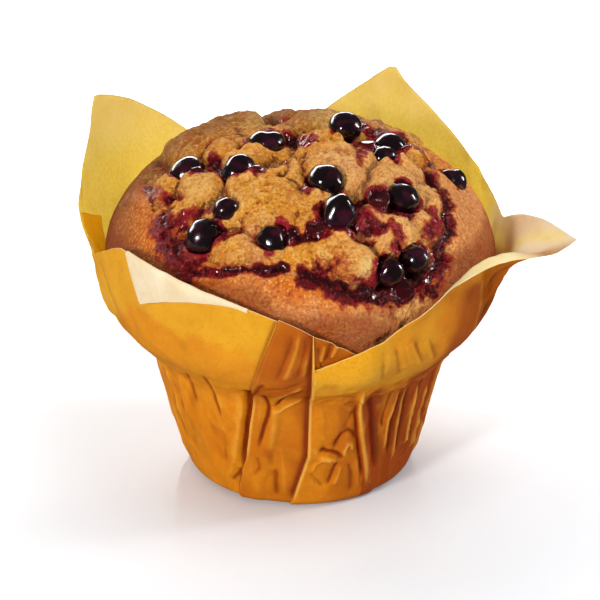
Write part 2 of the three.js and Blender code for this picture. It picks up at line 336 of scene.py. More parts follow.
def wallAt(azimuth, distance):  # radius, height and lean of the smooth wall
    column = np.asarray(azimuth) % 360.0
    row = np.clip(np.asarray(distance) / sheet["wallStep"], 0, wallTable[0].shape[1] - 1.001)
    c0, r0 = np.floor(column).astype(int), np.floor(row).astype(int)
    result = []
    for table in wallTable:
        low = lerp(table[c0, r0], table[c0, r0 + 1], row - r0)
        high = lerp(table[c0 + 1, r0], table[c0 + 1, r0 + 1], row - r0)
        result.append(lerp(low, high, column - c0))
    return result


def rollShare(azimuth):
    return hill(turnBetween(sheet["roll"]["at"], azimuth), sheet["roll"]["spread"])


def rimHeight(azimuth):  # distance up the wall where the paper ends
    azimuth = np.asarray(azimuth, float)
    height = np.full(azimuth.shape, sheet["lowestRim"])
    for middle, top, before, after in sheet["tips"]:
        turn = turnBetween(middle, azimuth)
        for valley, bottom, bend in (before, after):
            part = turn / turnBetween(middle, valley)
            inside = (part >= 0) & (part < 1)
            height = np.where(inside, lerp(top, bottom, np.clip(part, 0, 1) ** bend), height)
    return height + sheet["roll"]["extra"] * rollShare(azimuth)


# creases: points as (azimuth, distance up the wall), then height (minus for a valley), width, sharpness
creases = [
    # the left panel
    ([(229.4, 38.2), (222.5, 31.8), (221.6, 27.5), (222.3, 23.6)], -0.55, 0.8, 1.3),
    ([(238.2, 41.6), (237.5, 38.1), (235.1, 32.2), (234.7, 28.1), (235.6, 25.0),
      (235.6, 22.5)], -0.6, 0.8, 1.2),
    ([(239.7, 39.6), (236.3, 30.7), (237.5, 28.1), (237.4, 24.5)], 0.35, 0.7, 1.2),
    ([(251.4, 37.7), (251.0, 32.8), (250.1, 28.2), (247.9, 23.2), (245.9, 18.7), (243.8, 14.1),
      (242.3, 10.5)], -1.7, 0.85, 1.2),
    ([(259.6, 43.8), (257.1, 40.3), (251.6, 32.4)], -0.9, 0.6, 1.1),
    ([(242.3, 10.5), (239.5, 8.3), (234.5, 5.8)], -0.5, 0.8, 1.3),
    ([(257.5, 37.9), (258.0, 32.5), (258.3, 29.8), (257.6, 27.5), (255.7, 24.4), (254.0, 21.1),
      (252.0, 17.7)], -0.95, 0.7, 1.1),
    ([(251.7, 15.9), (251.4, 11.8), (246.3, 8.4)], -0.35, 0.9, 1.4),
    ([(258.7, 30.2), (261.9, 31.1), (265.9, 35.0), (271.2, 39.3)], -0.9, 0.45, 1.1),
    ([(258.9, 28.8), (262.4, 29.2), (266.3, 30.6), (271.4, 32.8)], 0.6, 0.6, 1.2),
    ([(259.5, 34.0), (264.9, 37.7), (271.2, 41.7)], 0.5, 0.5, 1.1),
    ([(256.1, 39.0), (260.9, 40.4), (267.1, 42.1), (271.1, 43.6)], -0.35, 0.5, 1.1),
    ([(253.5, 34.2), (251.7, 27.8), (249.2, 21.4), (246.2, 13.6)], 0.55, 0.7, 1.2),
    ([(260.3, 26.4), (259.0, 21.2), (257.2, 17.0)], 0.35, 1.1, 1.5),
    ([(254.0, 15.9), (256.2, 12.3), (252.4, 8.8)], 0.3, 0.9, 1.4),
    ([(248.0, 32.1), (245.8, 25.8), (242.1, 18.2), (238.9, 11.4)], 0.35, 1.2, 1.4),
    ([(235.5, 20.5), (235.4, 16.5), (232.5, 10.3)], -0.35, 1.1, 1.5),
    ([(259.3, 11.9), (258.4, 7.8), (258.3, 3.6)], -0.45, 1.1, 1.4),
    ([(204.6, 27.4), (203.3, 19.3), (202.1, 9.5)], -0.3, 0.8, 1.3),
    ([(215.2, 31.5), (213.5, 24.7), (214.0, 18.6)], 0.3, 0.8, 1.3),
    # the front right panel
    ([(272.8, 38.5), (277.7, 39.4), (284.3, 38.8), (290.7, 38.4)], 0.35, 0.5, 1.1),
    ([(273.4, 35.0), (279.4, 35.8), (285.4, 35.2), (290.9, 33.6)], -0.3, 0.6, 1.2),
    ([(293.2, 38.2), (291.5, 36.8), (293.1, 30.8), (293.8, 26.6), (295.7, 21.3), (298.1, 15.9),
      (300.6, 10.6), (302.6, 5.1)], 1.25, 0.6, 1.0),
    ([(292.1, 30.9), (292.0, 27.5), (293.3, 23.1), (295.0, 18.6), (297.4, 13.1),
      (299.7, 7.8)], -0.9, 0.5, 1.1),
    ([(296.1, 33.8), (300.2, 24.8), (303.1, 17.4), (308.2, 7.9)], -1.0, 1.5, 1.5),
    ([(284.0, 17.5), (285.4, 20.2), (287.2, 22.1), (289.6, 22.9), (292.0, 21.8),
      (293.8, 19.4)], -0.7, 0.65, 1.1),
    ([(287.4, 22.9), (289.8, 26.3), (291.5, 28.1)], -0.3, 0.8, 1.3),
    ([(288.9, 14.8), (289.0, 17.0), (289.9, 19.0), (291.7, 18.8), (293.2, 16.5)], 0.6, 0.6, 1.1),
    ([(277.1, 18.5), (280.5, 17.8), (283.6, 17.2), (286.4, 16.4), (289.4, 14.7)], -0.85, 0.75, 1.3),
    ([(277.6, 16.6), (281.2, 15.8), (284.7, 15.0), (287.2, 13.4)], 0.45, 0.8, 1.3),
    ([(282.6, 7.4), (284.6, 10.5), (285.6, 12.7), (286.6, 15.0)], -0.6, 0.5, 1.1),
    ([(285.5, 7.2), (287.4, 10.3), (288.3, 13.1)], 0.4, 0.6, 1.2),
    ([(274.9, 11.6), (276.5, 14.2), (279.4, 15.5), (282.5, 15.1), (283.7, 13.2)], 0.35, 0.5, 1.1),
    ([(290.9, 14.0), (293.7, 10.2), (294.8, 4.2)], -0.45, 1.0, 1.3),
    ([(294.9, 15.2), (296.9, 9.7), (298.5, 4.3)], 0.3, 0.6, 1.3),
    ([(274.0, 12.2), (276.8, 9.8), (280.8, 7.2)], -0.35, 0.6, 1.2),
    ([(284.7, 32.0), (288.0, 29.6), (290.8, 27.9)], 0.3, 0.6, 1.2),
    ([(308.3, 31.6), (307.1, 28.6), (306.7, 24.5), (307.6, 19.4)], -0.5, 0.5, 1.1),
    ([(311.1, 31.2), (311.3, 26.9), (310.1, 22.2), (310.1, 17.7), (311.4, 12.4)], 0.6, 0.4, 1.0),
    ([(313.7, 29.9), (313.3, 25.9), (312.9, 21.1), (313.4, 15.4), (314.9, 10.6)], -0.7, 0.5, 1.1),
    ([(315.6, 31.0), (315.1, 27.1), (315.4, 22.2), (316.5, 15.8), (318.5, 8.1)], 0.6, 0.4, 1.0),
    ([(318.1, 30.0), (317.9, 25.4), (318.7, 19.8), (319.5, 14.1), (320.3, 8.8)], -0.7, 0.5, 1.1),
    ([(323.9, 29.9), (323.0, 26.4), (322.6, 22.9), (323.5, 18.6), (324.6, 14.5),
      (326.0, 10.8)], 1.0, 0.5, 1.0),
    ([(327.9, 30.8), (325.6, 27.6), (325.6, 23.0), (327.7, 17.6), (329.5, 12.8),
      (331.3, 9.3)], -0.9, 0.6, 1.1),
    ([(334.4, 29.2), (332.2, 25.1), (333.1, 19.4), (335.7, 12.8), (337.4, 8.0)], 0.8, 0.5, 1.0),
    ([(339.6, 28.6), (337.9, 24.6), (338.8, 19.5), (346.1, 11.4)], -0.6, 0.5, 1.1),
    # its band
    ([(289.3, 52.8), (289.2, 49.2), (292.0, 41.4)], 0.25, 0.8, 1.3),
    ([(294.1, 53.6), (294.8, 49.4), (296.2, 43.0)], 0.45, 0.5, 1.1),
    ([(292.5, 52.6), (293.2, 48.5), (296.0, 40.1)], -0.35, 0.6, 1.2),
    ([(297.5, 52.8), (299.7, 48.6), (303.1, 42.9)], 0.5, 0.4, 1.0),
    ([(296.4, 51.9), (298.3, 47.5), (302.2, 41.0)], -0.35, 0.5, 1.1),
    ([(299.4, 52.4), (301.6, 48.4), (304.9, 43.6)], 0.5, 0.4, 1.0),
    ([(301.3, 52.2), (303.6, 48.5), (307.6, 43.4)], 0.55, 0.45, 1.0),
    ([(302.7, 51.7), (305.1, 48.1), (309.0, 43.7)], -0.45, 0.5, 1.1),
    ([(306.5, 51.5), (308.9, 47.6), (313.3, 42.7)], 0.4, 0.5, 1.0),
    ([(307.8, 51.7), (310.2, 47.9), (315.1, 42.8)], -0.4, 0.5, 1.1),
    # the middle panel's top
    ([(276.5, 54.8), (276.1, 52.5), (275.4, 49.9)], 0.6, 0.5, 1.0),
    ([(275.2, 54.8), (274.7, 51.9), (274.1, 47.2)], -0.4, 0.6, 1.1),
    ([(278.6, 55.2), (277.9, 53.0), (277.0, 50.1)], -0.8, 0.5, 1.0),
    ([(280.2, 55.3), (279.2, 53.2), (278.3, 50.9)], 0.7, 0.4, 1.0),
    ([(270.0, 58.6), (269.2, 54.4), (267.3, 49.3), (265.2, 45.0)], 0.45, 0.7, 1.1),
    ([(268.5, 58.6), (267.4, 54.4), (265.2, 49.2), (262.6, 44.1)], -0.45, 0.7, 1.1),
    ([(271.5, 58.1), (271.3, 54.4), (270.0, 49.3), (268.9, 45.1)], -0.4, 0.6, 1.1),
    ([(272.8, 58.1), (272.6, 54.4), (271.6, 50.1), (270.8, 45.1)], 0.4, 0.6, 1.1),
    # round to the right and the left
    ([(346, 33), (349, 20), (353, 6)], 0.6, 1.1, 1.3),
    ([(208, 36), (205, 27), (207, 14)], 0.5, 1.2, 1.4),
    ([(200, 35), (197, 25), (199, 10)], 0.6, 1.3, 1.3),
    ([(323, 64), (328, 54), (331, 44)], 0.5, 0.8, 1.1),
    ([(327, 67), (333, 55), (337, 44)], -0.4, 1.0, 1.2),
    # petals
    ([(4, 58), (6, 50), (7, 42)], 0.6, 1.4, 1.4),
    ([(12, 61), (13, 52), (11, 42)], -0.6, 1.5, 1.4),
    ([(18, 64), (19, 56), (17, 44)], 0.6, 1.3, 1.4),
    ([(30, 70), (27, 58), (24, 46)], 0.35, 1.5, 1.8),
    ([(60, 84), (62, 70), (60, 54)], 0.3, 2.2, 2.2),
    ([(150, 80), (146, 66), (140, 52)], 0.3, 2.0, 2.2),
    ([(168, 78), (172, 66), (176, 54)], -0.35, 1.8, 2.0),
    ([(186, 64), (187, 56), (189, 46)], -0.6, 1.2, 1.2),
    ([(192, 58), (193, 52), (194, 44)], 0.6, 1.2, 1.3),
    ([(198, 62), (203, 56), (207, 49)], -0.35, 1.2, 1.4),
    ([(-24, 70), (-18, 60), (-12, 50)], 0.4, 1.4, 1.6),
]

creasing = {"bandFrom": 39, "bandMarks": 0.3, "rightFrom": 286, "rightShare": 0.7, "reach": 26}
wrinkles = {"seed": 5, "count": 150, "length": (3, 9), "height": (0.08, 0.26), "width": (0.5, 1.1),
            "level": (4, 46), "aslantFrom": 34, "front": (205, 345), "frontShare": 0.45}
backPleats = {"seed": 11, "count": 15, "from": -22, "to": 198, "height": (0.7, 1.15), "width": (2.0, 3.2),
              "wander": 1.4, "up": (2.5, 9, 31, 40)}
shoulder = {"at": 32.3, "wander": 1.3, "width": 1.0, "height": 0.08, "more": 1.0,
            "moreAround": (276, 286, 340, 350)}
crumple = {
    "height": 0.42, "tall": 0.42, "ridges": [(1.0, 7.5, 38), (0.5, 3.6, 39)],  # share, size, seed
    "waves": [(0.32, 9, 31), (0.14, 4, 32), (0.035, 1.6, 33)],  # height, size, seed
    "petalWaves": [(0.9, 24, 34), (0.25, 9, 35)],
    "deepest": (-1.8, -0.45), "cakeTo": 62,  # the paper stops at the cake, in the cup and up at the crown
}


def creaseShape(gap, width, sharp):  # a crisp line with the paper easing into it on both sides
    return 0.85 * np.exp(-((gap / width) ** sharp) * 1.2) + 0.22 * np.exp(-((gap / (2.8 * width)) ** 1.5))


def pleatRelief(around, up):
    random = np.random.default_rng(backPleats["seed"])
    spacing = (backPleats["to"] - backPleats["from"]) / backPleats["count"]
    sway = backPleats["wander"]
    wander = np.interp(up, np.arange(0, 95, 7), random.uniform(-sway, sway, 14))
    pleat = np.zeros(len(up))
    for k in range(backPleats["count"]):
        middle = backPleats["from"] + (k + random.uniform(0.25, 0.75)) * spacing
        height, width = random.uniform(*backPleats["height"]), random.uniform(*backPleats["width"])
        away = np.abs(turnBetween(middle + wander * random.uniform(0.3, 1), around))
        pleat = np.maximum(pleat, height * np.exp(-(away / width) ** 1.5))
        pleat -= 0.25 * hill(turnBetween(middle + 1.8 * width, around), 1.4)  # the groove beside it
    return pleat * within(up, *backPleats["up"])


def addCreases(around, up, radius, relief, lines):
    for points, height, width, sharp in creases:
        line = np.array(points, float)
        middle = line[:, 0].mean()
        onBand = line[:, 1].min() > creasing["bandFrom"]  # the stiffer band is creased less
        if onBand and line[:, 0].min() > creasing["rightFrom"]:
            height *= creasing["rightShare"]
        where = np.nonzero(np.abs(turnBetween(middle, around)) < creasing["reach"])[0]
        place = np.stack([turnBetween(middle, around[where]) * radius[where] * degree, up[where]], 1)
        lineRadius = wallAt(line[:, 0], line[:, 1])[0]
        way = np.stack([(line[:, 0] - middle) * degree * lineRadius, line[:, 1]], 1)
        gap, along = lineDistance(place, way)
        taper = taperAt(along, 0.22, 0.12)
        relief[where] += height * creaseShape(gap, width, sharp) * taper
        mark = math.copysign(min(1.0, 1.3 * abs(height) ** 1.5), height)
        mark *= creasing["bandMarks"] if onBand else 1.0
        # painted shade along the valleys, painted highlight along the ridges
        lines[where] += mark * hill(gap, 0.45 * width + 0.1) * taper


def addWrinkles(around, up, radius, relief, lines):
    random = np.random.default_rng(wrinkles["seed"])
    for _ in range(wrinkles["count"]):
        middle, level = random.uniform(0, 360), random.uniform(*wrinkles["level"])
        length, lean = random.uniform(*wrinkles["length"]), random.normal(0, 0.5)
        if level > wrinkles["aslantFrom"]:
            lean += random.choice([-1, 1]) * 0.9
        height = random.uniform(*wrinkles["height"]) * random.choice([-1, 1])
        width = random.uniform(*wrinkles["width"])
        if wrinkles["front"][0] < middle < wrinkles["front"][1]:
            height *= wrinkles["frontShare"]
        where = np.nonzero((np.abs(turnBetween(middle, around)) < 16) & (np.abs(up - level) < 8))[0]
        place = np.stack([turnBetween(middle, around[where]) * radius[where] * degree, up[where] - level], 1)
        half = np.array([math.sin(lean), math.cos(lean)]) * length / 2
        gap, along = lineDistance(place, [-half, half * 0.1 + [0.3, 0], half])
        taper = taperAt(along, 0.35)
        relief[where] += height * creaseShape(gap, width, 1.4) * taper
        # painted shade along the valleys, painted highlight along the ridges
        lines[where] += 1.6 * height * hill(gap, 0.5 * width) * taper


def paperRelief(azimuth, distance):  # how far the paper stands off its wall, and the lines of its folds
    around, up = azimuth.ravel(), distance.ravel()
    turn = around % 360
    radius = wallAt(around, up)[0]
    spot = turned(radius, around, up)
    relief, lines = pleatRelief(around, up), np.zeros(len(up))
    addCreases(around, up, radius, relief, lines)
    addWrinkles(around, up, radius, relief, lines)
    level = shoulder["at"] + shoulder["wander"] * grainNoise(spot * [1, 1, 0], 11, 36)
    lip = np.exp(-np.abs(up - level) / shoulder["width"]) * (0.75 + 0.5 * grainNoise(spot, 6, 37))
    relief += (shoulder["height"] + shoulder["more"] * within(turn, *shoulder["moreAround"])) * lip
    drawn = spot * [1, 1, crumple["tall"]]
    ridges = 0
    for share, size, seed in crumple["ridges"]:
        ridges = ridges + share * (1 - 2.2 * np.abs(grainNoise(drawn, size, seed)))
    crumpled = rising(up, 1.5, 6.5) * lerp(1.0, 0.3, rising(up, 32, 37))
    crumpled *= lerp(0.5, 1.0, rising(turn, 196, 212))
    relief += crumple["height"] * (ridges - 0.9) * crumpled
    relief += rising(up, 2, 10) * summedNoise(spot, crumple["waves"])
    relief += rising(up, 52, 66) * summedNoise(spot, crumple["petalWaves"])
    deepest = lerp(*crumple["deepest"], rising(up, 32, 38))
    relief = np.where(up < crumple["cakeTo"], np.maximum(relief, deepest), relief)
    return relief.reshape(azimuth.shape), lines.reshape(azimuth.shape)


def sheetColumns(rows):
    # the sheet goes once round, with two folds back: each run is (start, end, columns, layer, panel)
    front, side, foldFrom = [curveAt(sheet[key], rows) for key in ("frontEdge", "sideEdge", "foldLine")]
    steady = np.ones(len(rows))
    step, lift, count = sheet["layer"], sheet["edgeLift"], sheet["columns"]
    azimuths, layers, panels = [], [], []

    def run(start, end, count, layerAt, panel, first=1):
        for k in range(first, count + 1):
            azimuths.append(lerp(start, end, k / count))
            layers.append(layerAt(k / count, azimuths[-1]))
            panels.append(panel)

    def lap(edge, settle, fadeFrom, fade):  # its edge stands up, settles on the layers below and runs out
        def layerAt(t, azimuth):
            standing = lift - (lift - 2 * step) * smooth((azimuth - edge) / settle)
            return standing * falling(azimuth, fadeFrom, fadeFrom + fade)
        return layerAt

    def onWall(t, azimuth):
        return 0 * azimuth

    def tucked(t, azimuth):
        return step * (0.9 + 0.1 * t) * steady

    def foldedOver(t, azimuth):
        return 0.5 * (step + lift) * steady

    right, left = sheet["back"]
    tuckTo = front + sheet["frontTuck"]
    frontLap = lap(front - 360, 9, foldFrom - 360, sheet["foldWidth"])
    run(front - 360, right * steady, count["front"], frontLap, 0, first=0)
    run(right * steady, left * steady, count["back"], onWall, 0)
    run(left * steady, side, count["left"], onWall, 0)
    run(side, side + sheet["sideTuck"], 10, onWall, 1)
    run(side + sheet["sideTuck"], side, 5, tucked, 2)
    run(side, side - 0.35, 1, foldedOver, 2)
    run(side - 0.1, tuckTo, count["middle"], lap(side, 6, side + 8.5, 5), 3)
    run(tuckTo, front + 0.3, 8, tucked, 4)
    run(front + 0.3, front - 0.3, 1, foldedOver, 4)
    return np.array(azimuths).T, np.array(layers).T, np.array(panels)


def panelRim(azimuth, panels):  # the layers of a lap end a little below each other
    rim, low = rimHeight(azimuth), curveAt(sheet["middleRim"], azimuth)
    inFront = rimHeight(azimuth + 0.01)
    rim = np.where(panels == 1, np.minimum(rim, 61) - 0.8, rim)
    rim = np.where(panels == 2, np.minimum(low, 61) - 0.5, rim)
    rim = np.where(panels == 3, low, rim)
    return np.where(panels == 4, np.minimum(low, inFront) - 0.4, rim)


# fat soaked into the paper, and the light through it: azimuths, and distances up the wall
fat = {
    "level": [(0, 36), (60, 37), (150, 38), (200, 43), (218, 53), (226, 53), (234, 51.5), (246, 52),
              (251, 50), (259, 48.5), (273, 47), (274, 38.5), (284, 38), (291, 37), (312, 35.5), (335, 36),
              (360, 36)],
    "ragged": [(3.2, 9, 41), (2.4, 3.5, 42), (1.6, 1.5, 44)],
    "tallCrease": [(5, 301), (20, 296), (38, 292)],
    "bandEnd": [(49, 331), (50.4, 332.8), (58.2, 326.2), (64.6, 321.2)],
    "emberSoak": 1.25, "middleSoak": 1.38, "litPatchAt": 281,
    # zones of painted shade: where each begins, is full from and to, and ends, as the turn past 300, or for
    # "behind" past the tall crease, then where it ends upward
    "shade": ((-12, -2, 48, 76), (60, 67)), "right": ((6, 22, 36, 72), (60, 68)),
    "low": ((-22, -12, 40, 70), (32, 34.5)), "behind": ((-0.8, 0.3, 6, 12), (31, 36)),
}


def fatZone(name, turn, distance):
    turns, ends = fat[name]
    return within(turn, *turns) * falling(distance, *ends)


def emberAt(azimuth, distance):  # where light glows orange through the paper past the band's right end
    past = turnBetween(curveAt(fat["bandEnd"], distance), azimuth)
    return within(past, 0, 1.2, 12, 28) * rising(distance, 45, 51)


def soakAt(azimuth, distance, panels, spot):  # 0 dry and yellow, 1 turned orange by fat, more is browner, which on the right of the cup is painted shade; below 0 is painted light
    level = curveAt(fat["level"], azimuth % 360)
    soak = falling(distance + summedNoise(spot, fat["ragged"]) - level, -1.5, 4.5)
    soak = np.minimum(soak, lerp(1.0, 0.72, rising(distance, 33, 40)))
    past = turnBetween(300, azimuth)
    soak = np.maximum(soak, fatZone("shade", past, distance) * (0.5 + 0.3 * grainNoise(spot, 5, 45)))
    middle = (panels >= 2) & (panels <= 4)
    doubled = fat["middleSoak"] + 0.25 * rising(distance, 30, 36) - 0.2 * grainNoise(spot, 6, 43)
    soak = np.where(middle, np.maximum(soak, doubled), soak)
    right, low = fatZone("right", past, distance), fatZone("low", past, distance)
    soak = np.maximum(soak, 0.8 * right)
    behind = fatZone("behind", turnBetween(curveAt(fat["tallCrease"], distance), azimuth), distance)
    # painted shade: browner on the right, low on the right and in the valley behind the tall crease
    browner = 0.44 * low + right + behind + 0.12 * grainNoise(spot, 8, 46)
    soak = np.clip(soak + np.where(middle, 0, browner * np.clip(2 * soak, 0, 1)), 0, 2)
    # painted light: the top of the front right band painted paler yellow, by soak below 0
    brightYellow = hill(turnBetween(fat["litPatchAt"], azimuth), 10) * rising(distance, 40, 44) * (panels == 0)
    return lerp(soak, fat["emberSoak"], emberAt(azimuth, distance)) - brightYellow * (1 - np.clip(2 * soak, 0, 1))


# where the paper's back and front let light through, as azimuths, and its folds near the right petal
lightThrough = {"backGlow": (14, 24, 196, 204), "back": (14, 24, 186, 192), "front": (188, 195, 322, 336),
                "fold": [(54, -2), (74, -16)], "foldUp": (52, 58, 71, 74)}


def innerGlow(azimuth, distance):  # painted light: how far the yellow of the outside, lit from behind, comes through on the inside
    turn = azimuth % 360
    deep = 1 + (0.76 + 0.09 * falling(turn, 70, 110)) * falling(distance, 60, 82)
    back = within(turn, *lightThrough["backGlow"]) * deep
    fold = turnBetween(curveAt(lightThrough["fold"], distance), azimuth)
    stripe = 0.8 * hill(fold, 3.2) * within(distance, *lightThrough["foldUp"])
    return np.maximum.reduce([back, 0.8 * falling(distance, 54, 61), stripe, 0.55 * rollShare(azimuth)])


def thinness(azimuth, distance):  # how much light comes through
    turn, ember = azimuth % 360, emberAt(azimuth, distance)
    back, front = within(turn, *lightThrough["back"]), within(turn, *lightThrough["front"])
    thin = smooth((distance - lerp(48, 42, back)) / 9) * lerp(1.0, 0.1, front)
    thin = np.maximum(thin, ember * falling(distance, 67, 73))
    thin = thin * (1 - 0.8 * (1 - ember) * hill(turnBetween(sheet["tips"][0][0], turn), 24))
    return thin * (1 - 0.2 * rising(distance, 70, 80))


def edgeLines(azimuth, distance, panels, radius):  # a painted highlight along a lap's cut edge, and its painted shadow line on the layer below
    front, side = [turnBetween(curveAt(sheet[key], distance), azimuth) * degree * radius
                   for key in ("frontEdge", "sideEdge")]
    top, middle = panels == 0, panels == 3
    line = np.where(top, 0.8 * hill(front - 0.15, 0.4), 0)
    line += np.where(middle, 0.45 * hill(side - 0.15, 0.4), 0)
    line -= np.where(middle & (front < 0.4), 1.1 * np.exp(-np.abs(front + 0.5)), 0)
    line -= np.where(top & (side < 0.4) & (side > -9), 0.7 * np.exp(-np.abs(side + 0.3) / 0.6), 0)
    return line * rising(distance, 2, 6)


def paintedFoldShade(relief):  # above 0 on ridges, painted paler as highlight, below 0 in valleys, painted darker as shade
    bent = 0
    for step, climb, share in ((2, 1, 1.5), (6, 3, 0.7), (14, 7, 0.3)):
        across = (np.roll(relief, step, 1) + np.roll(relief, -step, 1)) / 2
        along = (np.roll(relief, climb, 0) + np.roll(relief, -climb, 0)) / 2
        bent = bent + share * (relief - 0.65 * across - 0.35 * along)
    return bent


def closeBase(face):  # rings below the wall's lowest row that shrink to a small disc
    rings, lowest = [], face[0]
    for ring in sheet["baseRings"]:
        points = lowest * [ring, ring, 1]
        middleHeight = lowest[:, 2].min() + 0.02 + (1 - ring) * sheet["baseRise"]
        points[:, 2] = lerp(middleHeight, lowest[:, 2], ring)
        rings.append(points)
    return np.concatenate([np.array(rings[::-1]), face])


def makeSheet():
    steadyTo, roll = sheet["steadyTo"], sheet["roll"]
    low = np.linspace(0, steadyTo, sheet["steadyRows"])
    high = np.linspace(0, 1, sheet["petalRows"] + 1)[1:]
    # petal rows of a lap's edge keep following it up to the rim
    azimuth, layer, panels = sheetColumns(np.concatenate([low, lerp(steadyTo, sheet["climbTo"], high)]))
    rim = panelRim(azimuth[-1], panels)
    rim = rim + summedNoise(turned(60, azimuth[-1], rim), sheet["rimWaves"])
    petals = steadyTo + high[:, None] * (rim - steadyTo)
    distance = np.concatenate([np.repeat(low[:, None], len(rim), 1), petals])
    radius, height, lean = wallAt(azimuth, distance)
    relief, lines = paperRelief(azimuth, distance)
    lines = lines + edgeLines(azimuth, distance, panels, radius)
    fade = rising(distance, 0.6, 4.1)
    off = relief * fade + layer * lerp(0.35, 1.0, fade)
    past = np.maximum(distance - rim + roll["length"], 0)
    rolled = lean + roll["angle"] * degree * rollShare(azimuth) * smooth(past / roll["length"])

    def surface(away):
        r = radius + past * (np.sin(rolled) - np.sin(lean)) + (off - away) * np.cos(rolled)
        z = height + past * (np.cos(rolled) - np.cos(lean)) - (off - away) * np.sin(rolled)
        return turned(r, azimuth, z + 0.35 * sheet["edgeLift"] * (1 - fade))

    outer, inner = surface(0.0), surface(sheet["thickness"])
    panelOf = np.broadcast_to(panels, azimuth.shape).ravel()
    soak = soakAt(azimuth.ravel(), distance.ravel(), panelOf, outer.reshape(-1, 3))
    outer, inner = closeBase(outer), closeBase(inner)
    total, columns = outer.shape[:2]
    behind, after = total * columns, np.roll(np.arange(columns), -1).tolist()
    outFaces = gridFaces(total, columns, closed=True)
    inFaces = gridFaces(total, columns, closed=True, flip=True, offset=behind)
    top, centre = behind - columns, 2 * behind
    edge = [(top + k, top + n, behind + top + n, behind + top + k) for k, n in enumerate(after)]
    fans = [(centre, n, k) for k, n in enumerate(after)]
    fans += [(centre + 1, behind + k, behind + n) for k, n in enumerate(after)]
    middles = [outer[0].mean(0), inner[0].mean(0)]
    points = np.concatenate([outer.reshape(-1, 3), inner.reshape(-1, 3), middles])
    slots = [0] * len(outFaces) + [1] * (len(inFaces) + columns) + [0] * columns + [1] * columns
    onBase = ((len(sheet["baseRings"]), 0), (0, 0))
    around, away = np.pad(azimuth, onBase, mode="edge"), np.pad(distance, onBase)
    paint = {
        "soak": np.pad(soak.reshape(azimuth.shape), onBase, constant_values=1.0),
        "foldShade": np.pad(np.clip(paintedFoldShade(relief), -1, 1), onBase),
        "line": np.pad(np.clip(lines, -1, 1), onBase),
        "glow": innerGlow(around, away), "thin": thinness(around, away),
    }
    for key, grid in paint.items():
        paint[key] = np.concatenate([grid.ravel(), grid.ravel(), [grid[0, 0]] * 2])
    return makeMesh("tulip_case_sheet", points, outFaces + inFaces + edge + fans, paint, slots)


def makeStrip(name, front, back, slots, paint):  # a strip of paper with both faces and its cut edge
    rows, columns = front.shape[:2]
    behind = rows * columns
    outFaces = gridFaces(rows, columns, flip=True)
    inFaces = gridFaces(rows, columns, offset=behind)
    index = np.arange(behind).reshape(rows, columns)
    border = np.concatenate([index[0], index[1:, -1], index[-1, -2::-1], index[-2:0:-1, 0]]).tolist()
    rim = [(b, a, a + behind, b + behind) for a, b in zip(border, border[1:] + border[:1])]
    paint = {"soak": 0.0, "foldShade": 0.0, "line": 0.0, "glow": 0.0, "thin": 0.0, **paint}
    values = {key: np.full(2 * behind, value) for key, value in paint.items()}
    points = np.concatenate([front.reshape(-1, 3), back.reshape(-1, 3)])
    faceSlots = np.repeat(slots, [len(outFaces), len(inFaces), len(rim)])
    return makeMesh(name, points, outFaces + inFaces + rim, values, faceSlots)


# the corner folded down over the outside
flap = {"from": 219.6, "to": 256.5, "corner": 225, "length": 9.5, "hollow": 1.6, "stand": 1.0, "bend": 0.32,
        "belowRim": 0.25, "columns": 60, "bendRows": (0, 35, 70, 105, 140, 180), "paint": {"glow": 0.06}}


def makeFlap():
    azimuths = np.linspace(flap["from"], flap["to"], flap["columns"])
    climb = (azimuths - flap["from"]) / (flap["corner"] - flap["from"])
    drop = ((flap["to"] - azimuths) / (flap["to"] - flap["corner"])) ** flap["hollow"]
    length = flap["length"] * np.clip(np.minimum(climb, drop), 0.02, 1)
    full = np.minimum(1, length / 3)
    rim = rimHeight(azimuths)
    radius, height, _ = wallAt(azimuths, rim)
    radius = radius + paperRelief(azimuths[None, :], rim[None, :])[0][0] - sheet["thickness"] / 2
    height = height - flap["belowRim"]

    def face(extra):
        rows, bend = [], flap["bend"] + extra
        for angle in flap["bendRows"]:
            out, up = bend * math.cos(angle * degree), bend * math.sin(angle * degree)
            rows.append(turned(radius - out, azimuths, height + up))
        for t in np.linspace(0.04, 1, 22):
            wave = 0.08 * np.sin(azimuths * 0.4 + 2 * t) * t
            bulge = (0.8 * flap["stand"] * math.sqrt(t) - 0.6 * t * t + wave) * full
            rows.append(turned(radius + bend + bulge, azimuths, height - length * t))
        return np.array(rows)

    return makeStrip("tulip_case_flap", face(sheet["thickness"]), face(0.0), [1, 0, 1], flap["paint"])


# the pleat folded in beside the left petal, its outer face showing: its free edge as (distance, azimuth)
tuck = {"edge": [(47, 173.5), (52, 169.3), (55, 167.1), (59.2, 163.9)], "to": 187.0, "topSlope": 0.42,
        "belowRim": 0.1, "gap": 0.25, "rows": 30, "columns": 34,
        "paint": {"soak": -1.0, "glow": 2.0, "thin": 1.0}}


def makeTuck():
    u, v = np.meshgrid(np.linspace(0, 1, tuck["columns"]), np.linspace(0, 1, tuck["rows"]))
    (low, _), (high, corner) = tuck["edge"][0], tuck["edge"][-1]
    azimuth = lerp(curveAt(tuck["edge"], lerp(low, high, v)), tuck["to"], u)
    top = np.minimum(high + tuck["topSlope"] * (azimuth - corner), rimHeight(azimuth) - tuck["belowRim"])
    distance = lerp(low, top, v)
    radius, height, lean = wallAt(azimuth, distance)
    relief = paperRelief(azimuth, distance)[0] - sheet["thickness"] - tuck["gap"]

    def face(away):
        off = relief - away
        return turned(radius + off * np.cos(lean), azimuth, height - off * np.sin(lean))

    return makeStrip("tulip_case_tuck", face(sheet["thickness"]), face(0.0), [0, 1, 1], tuck["paint"])


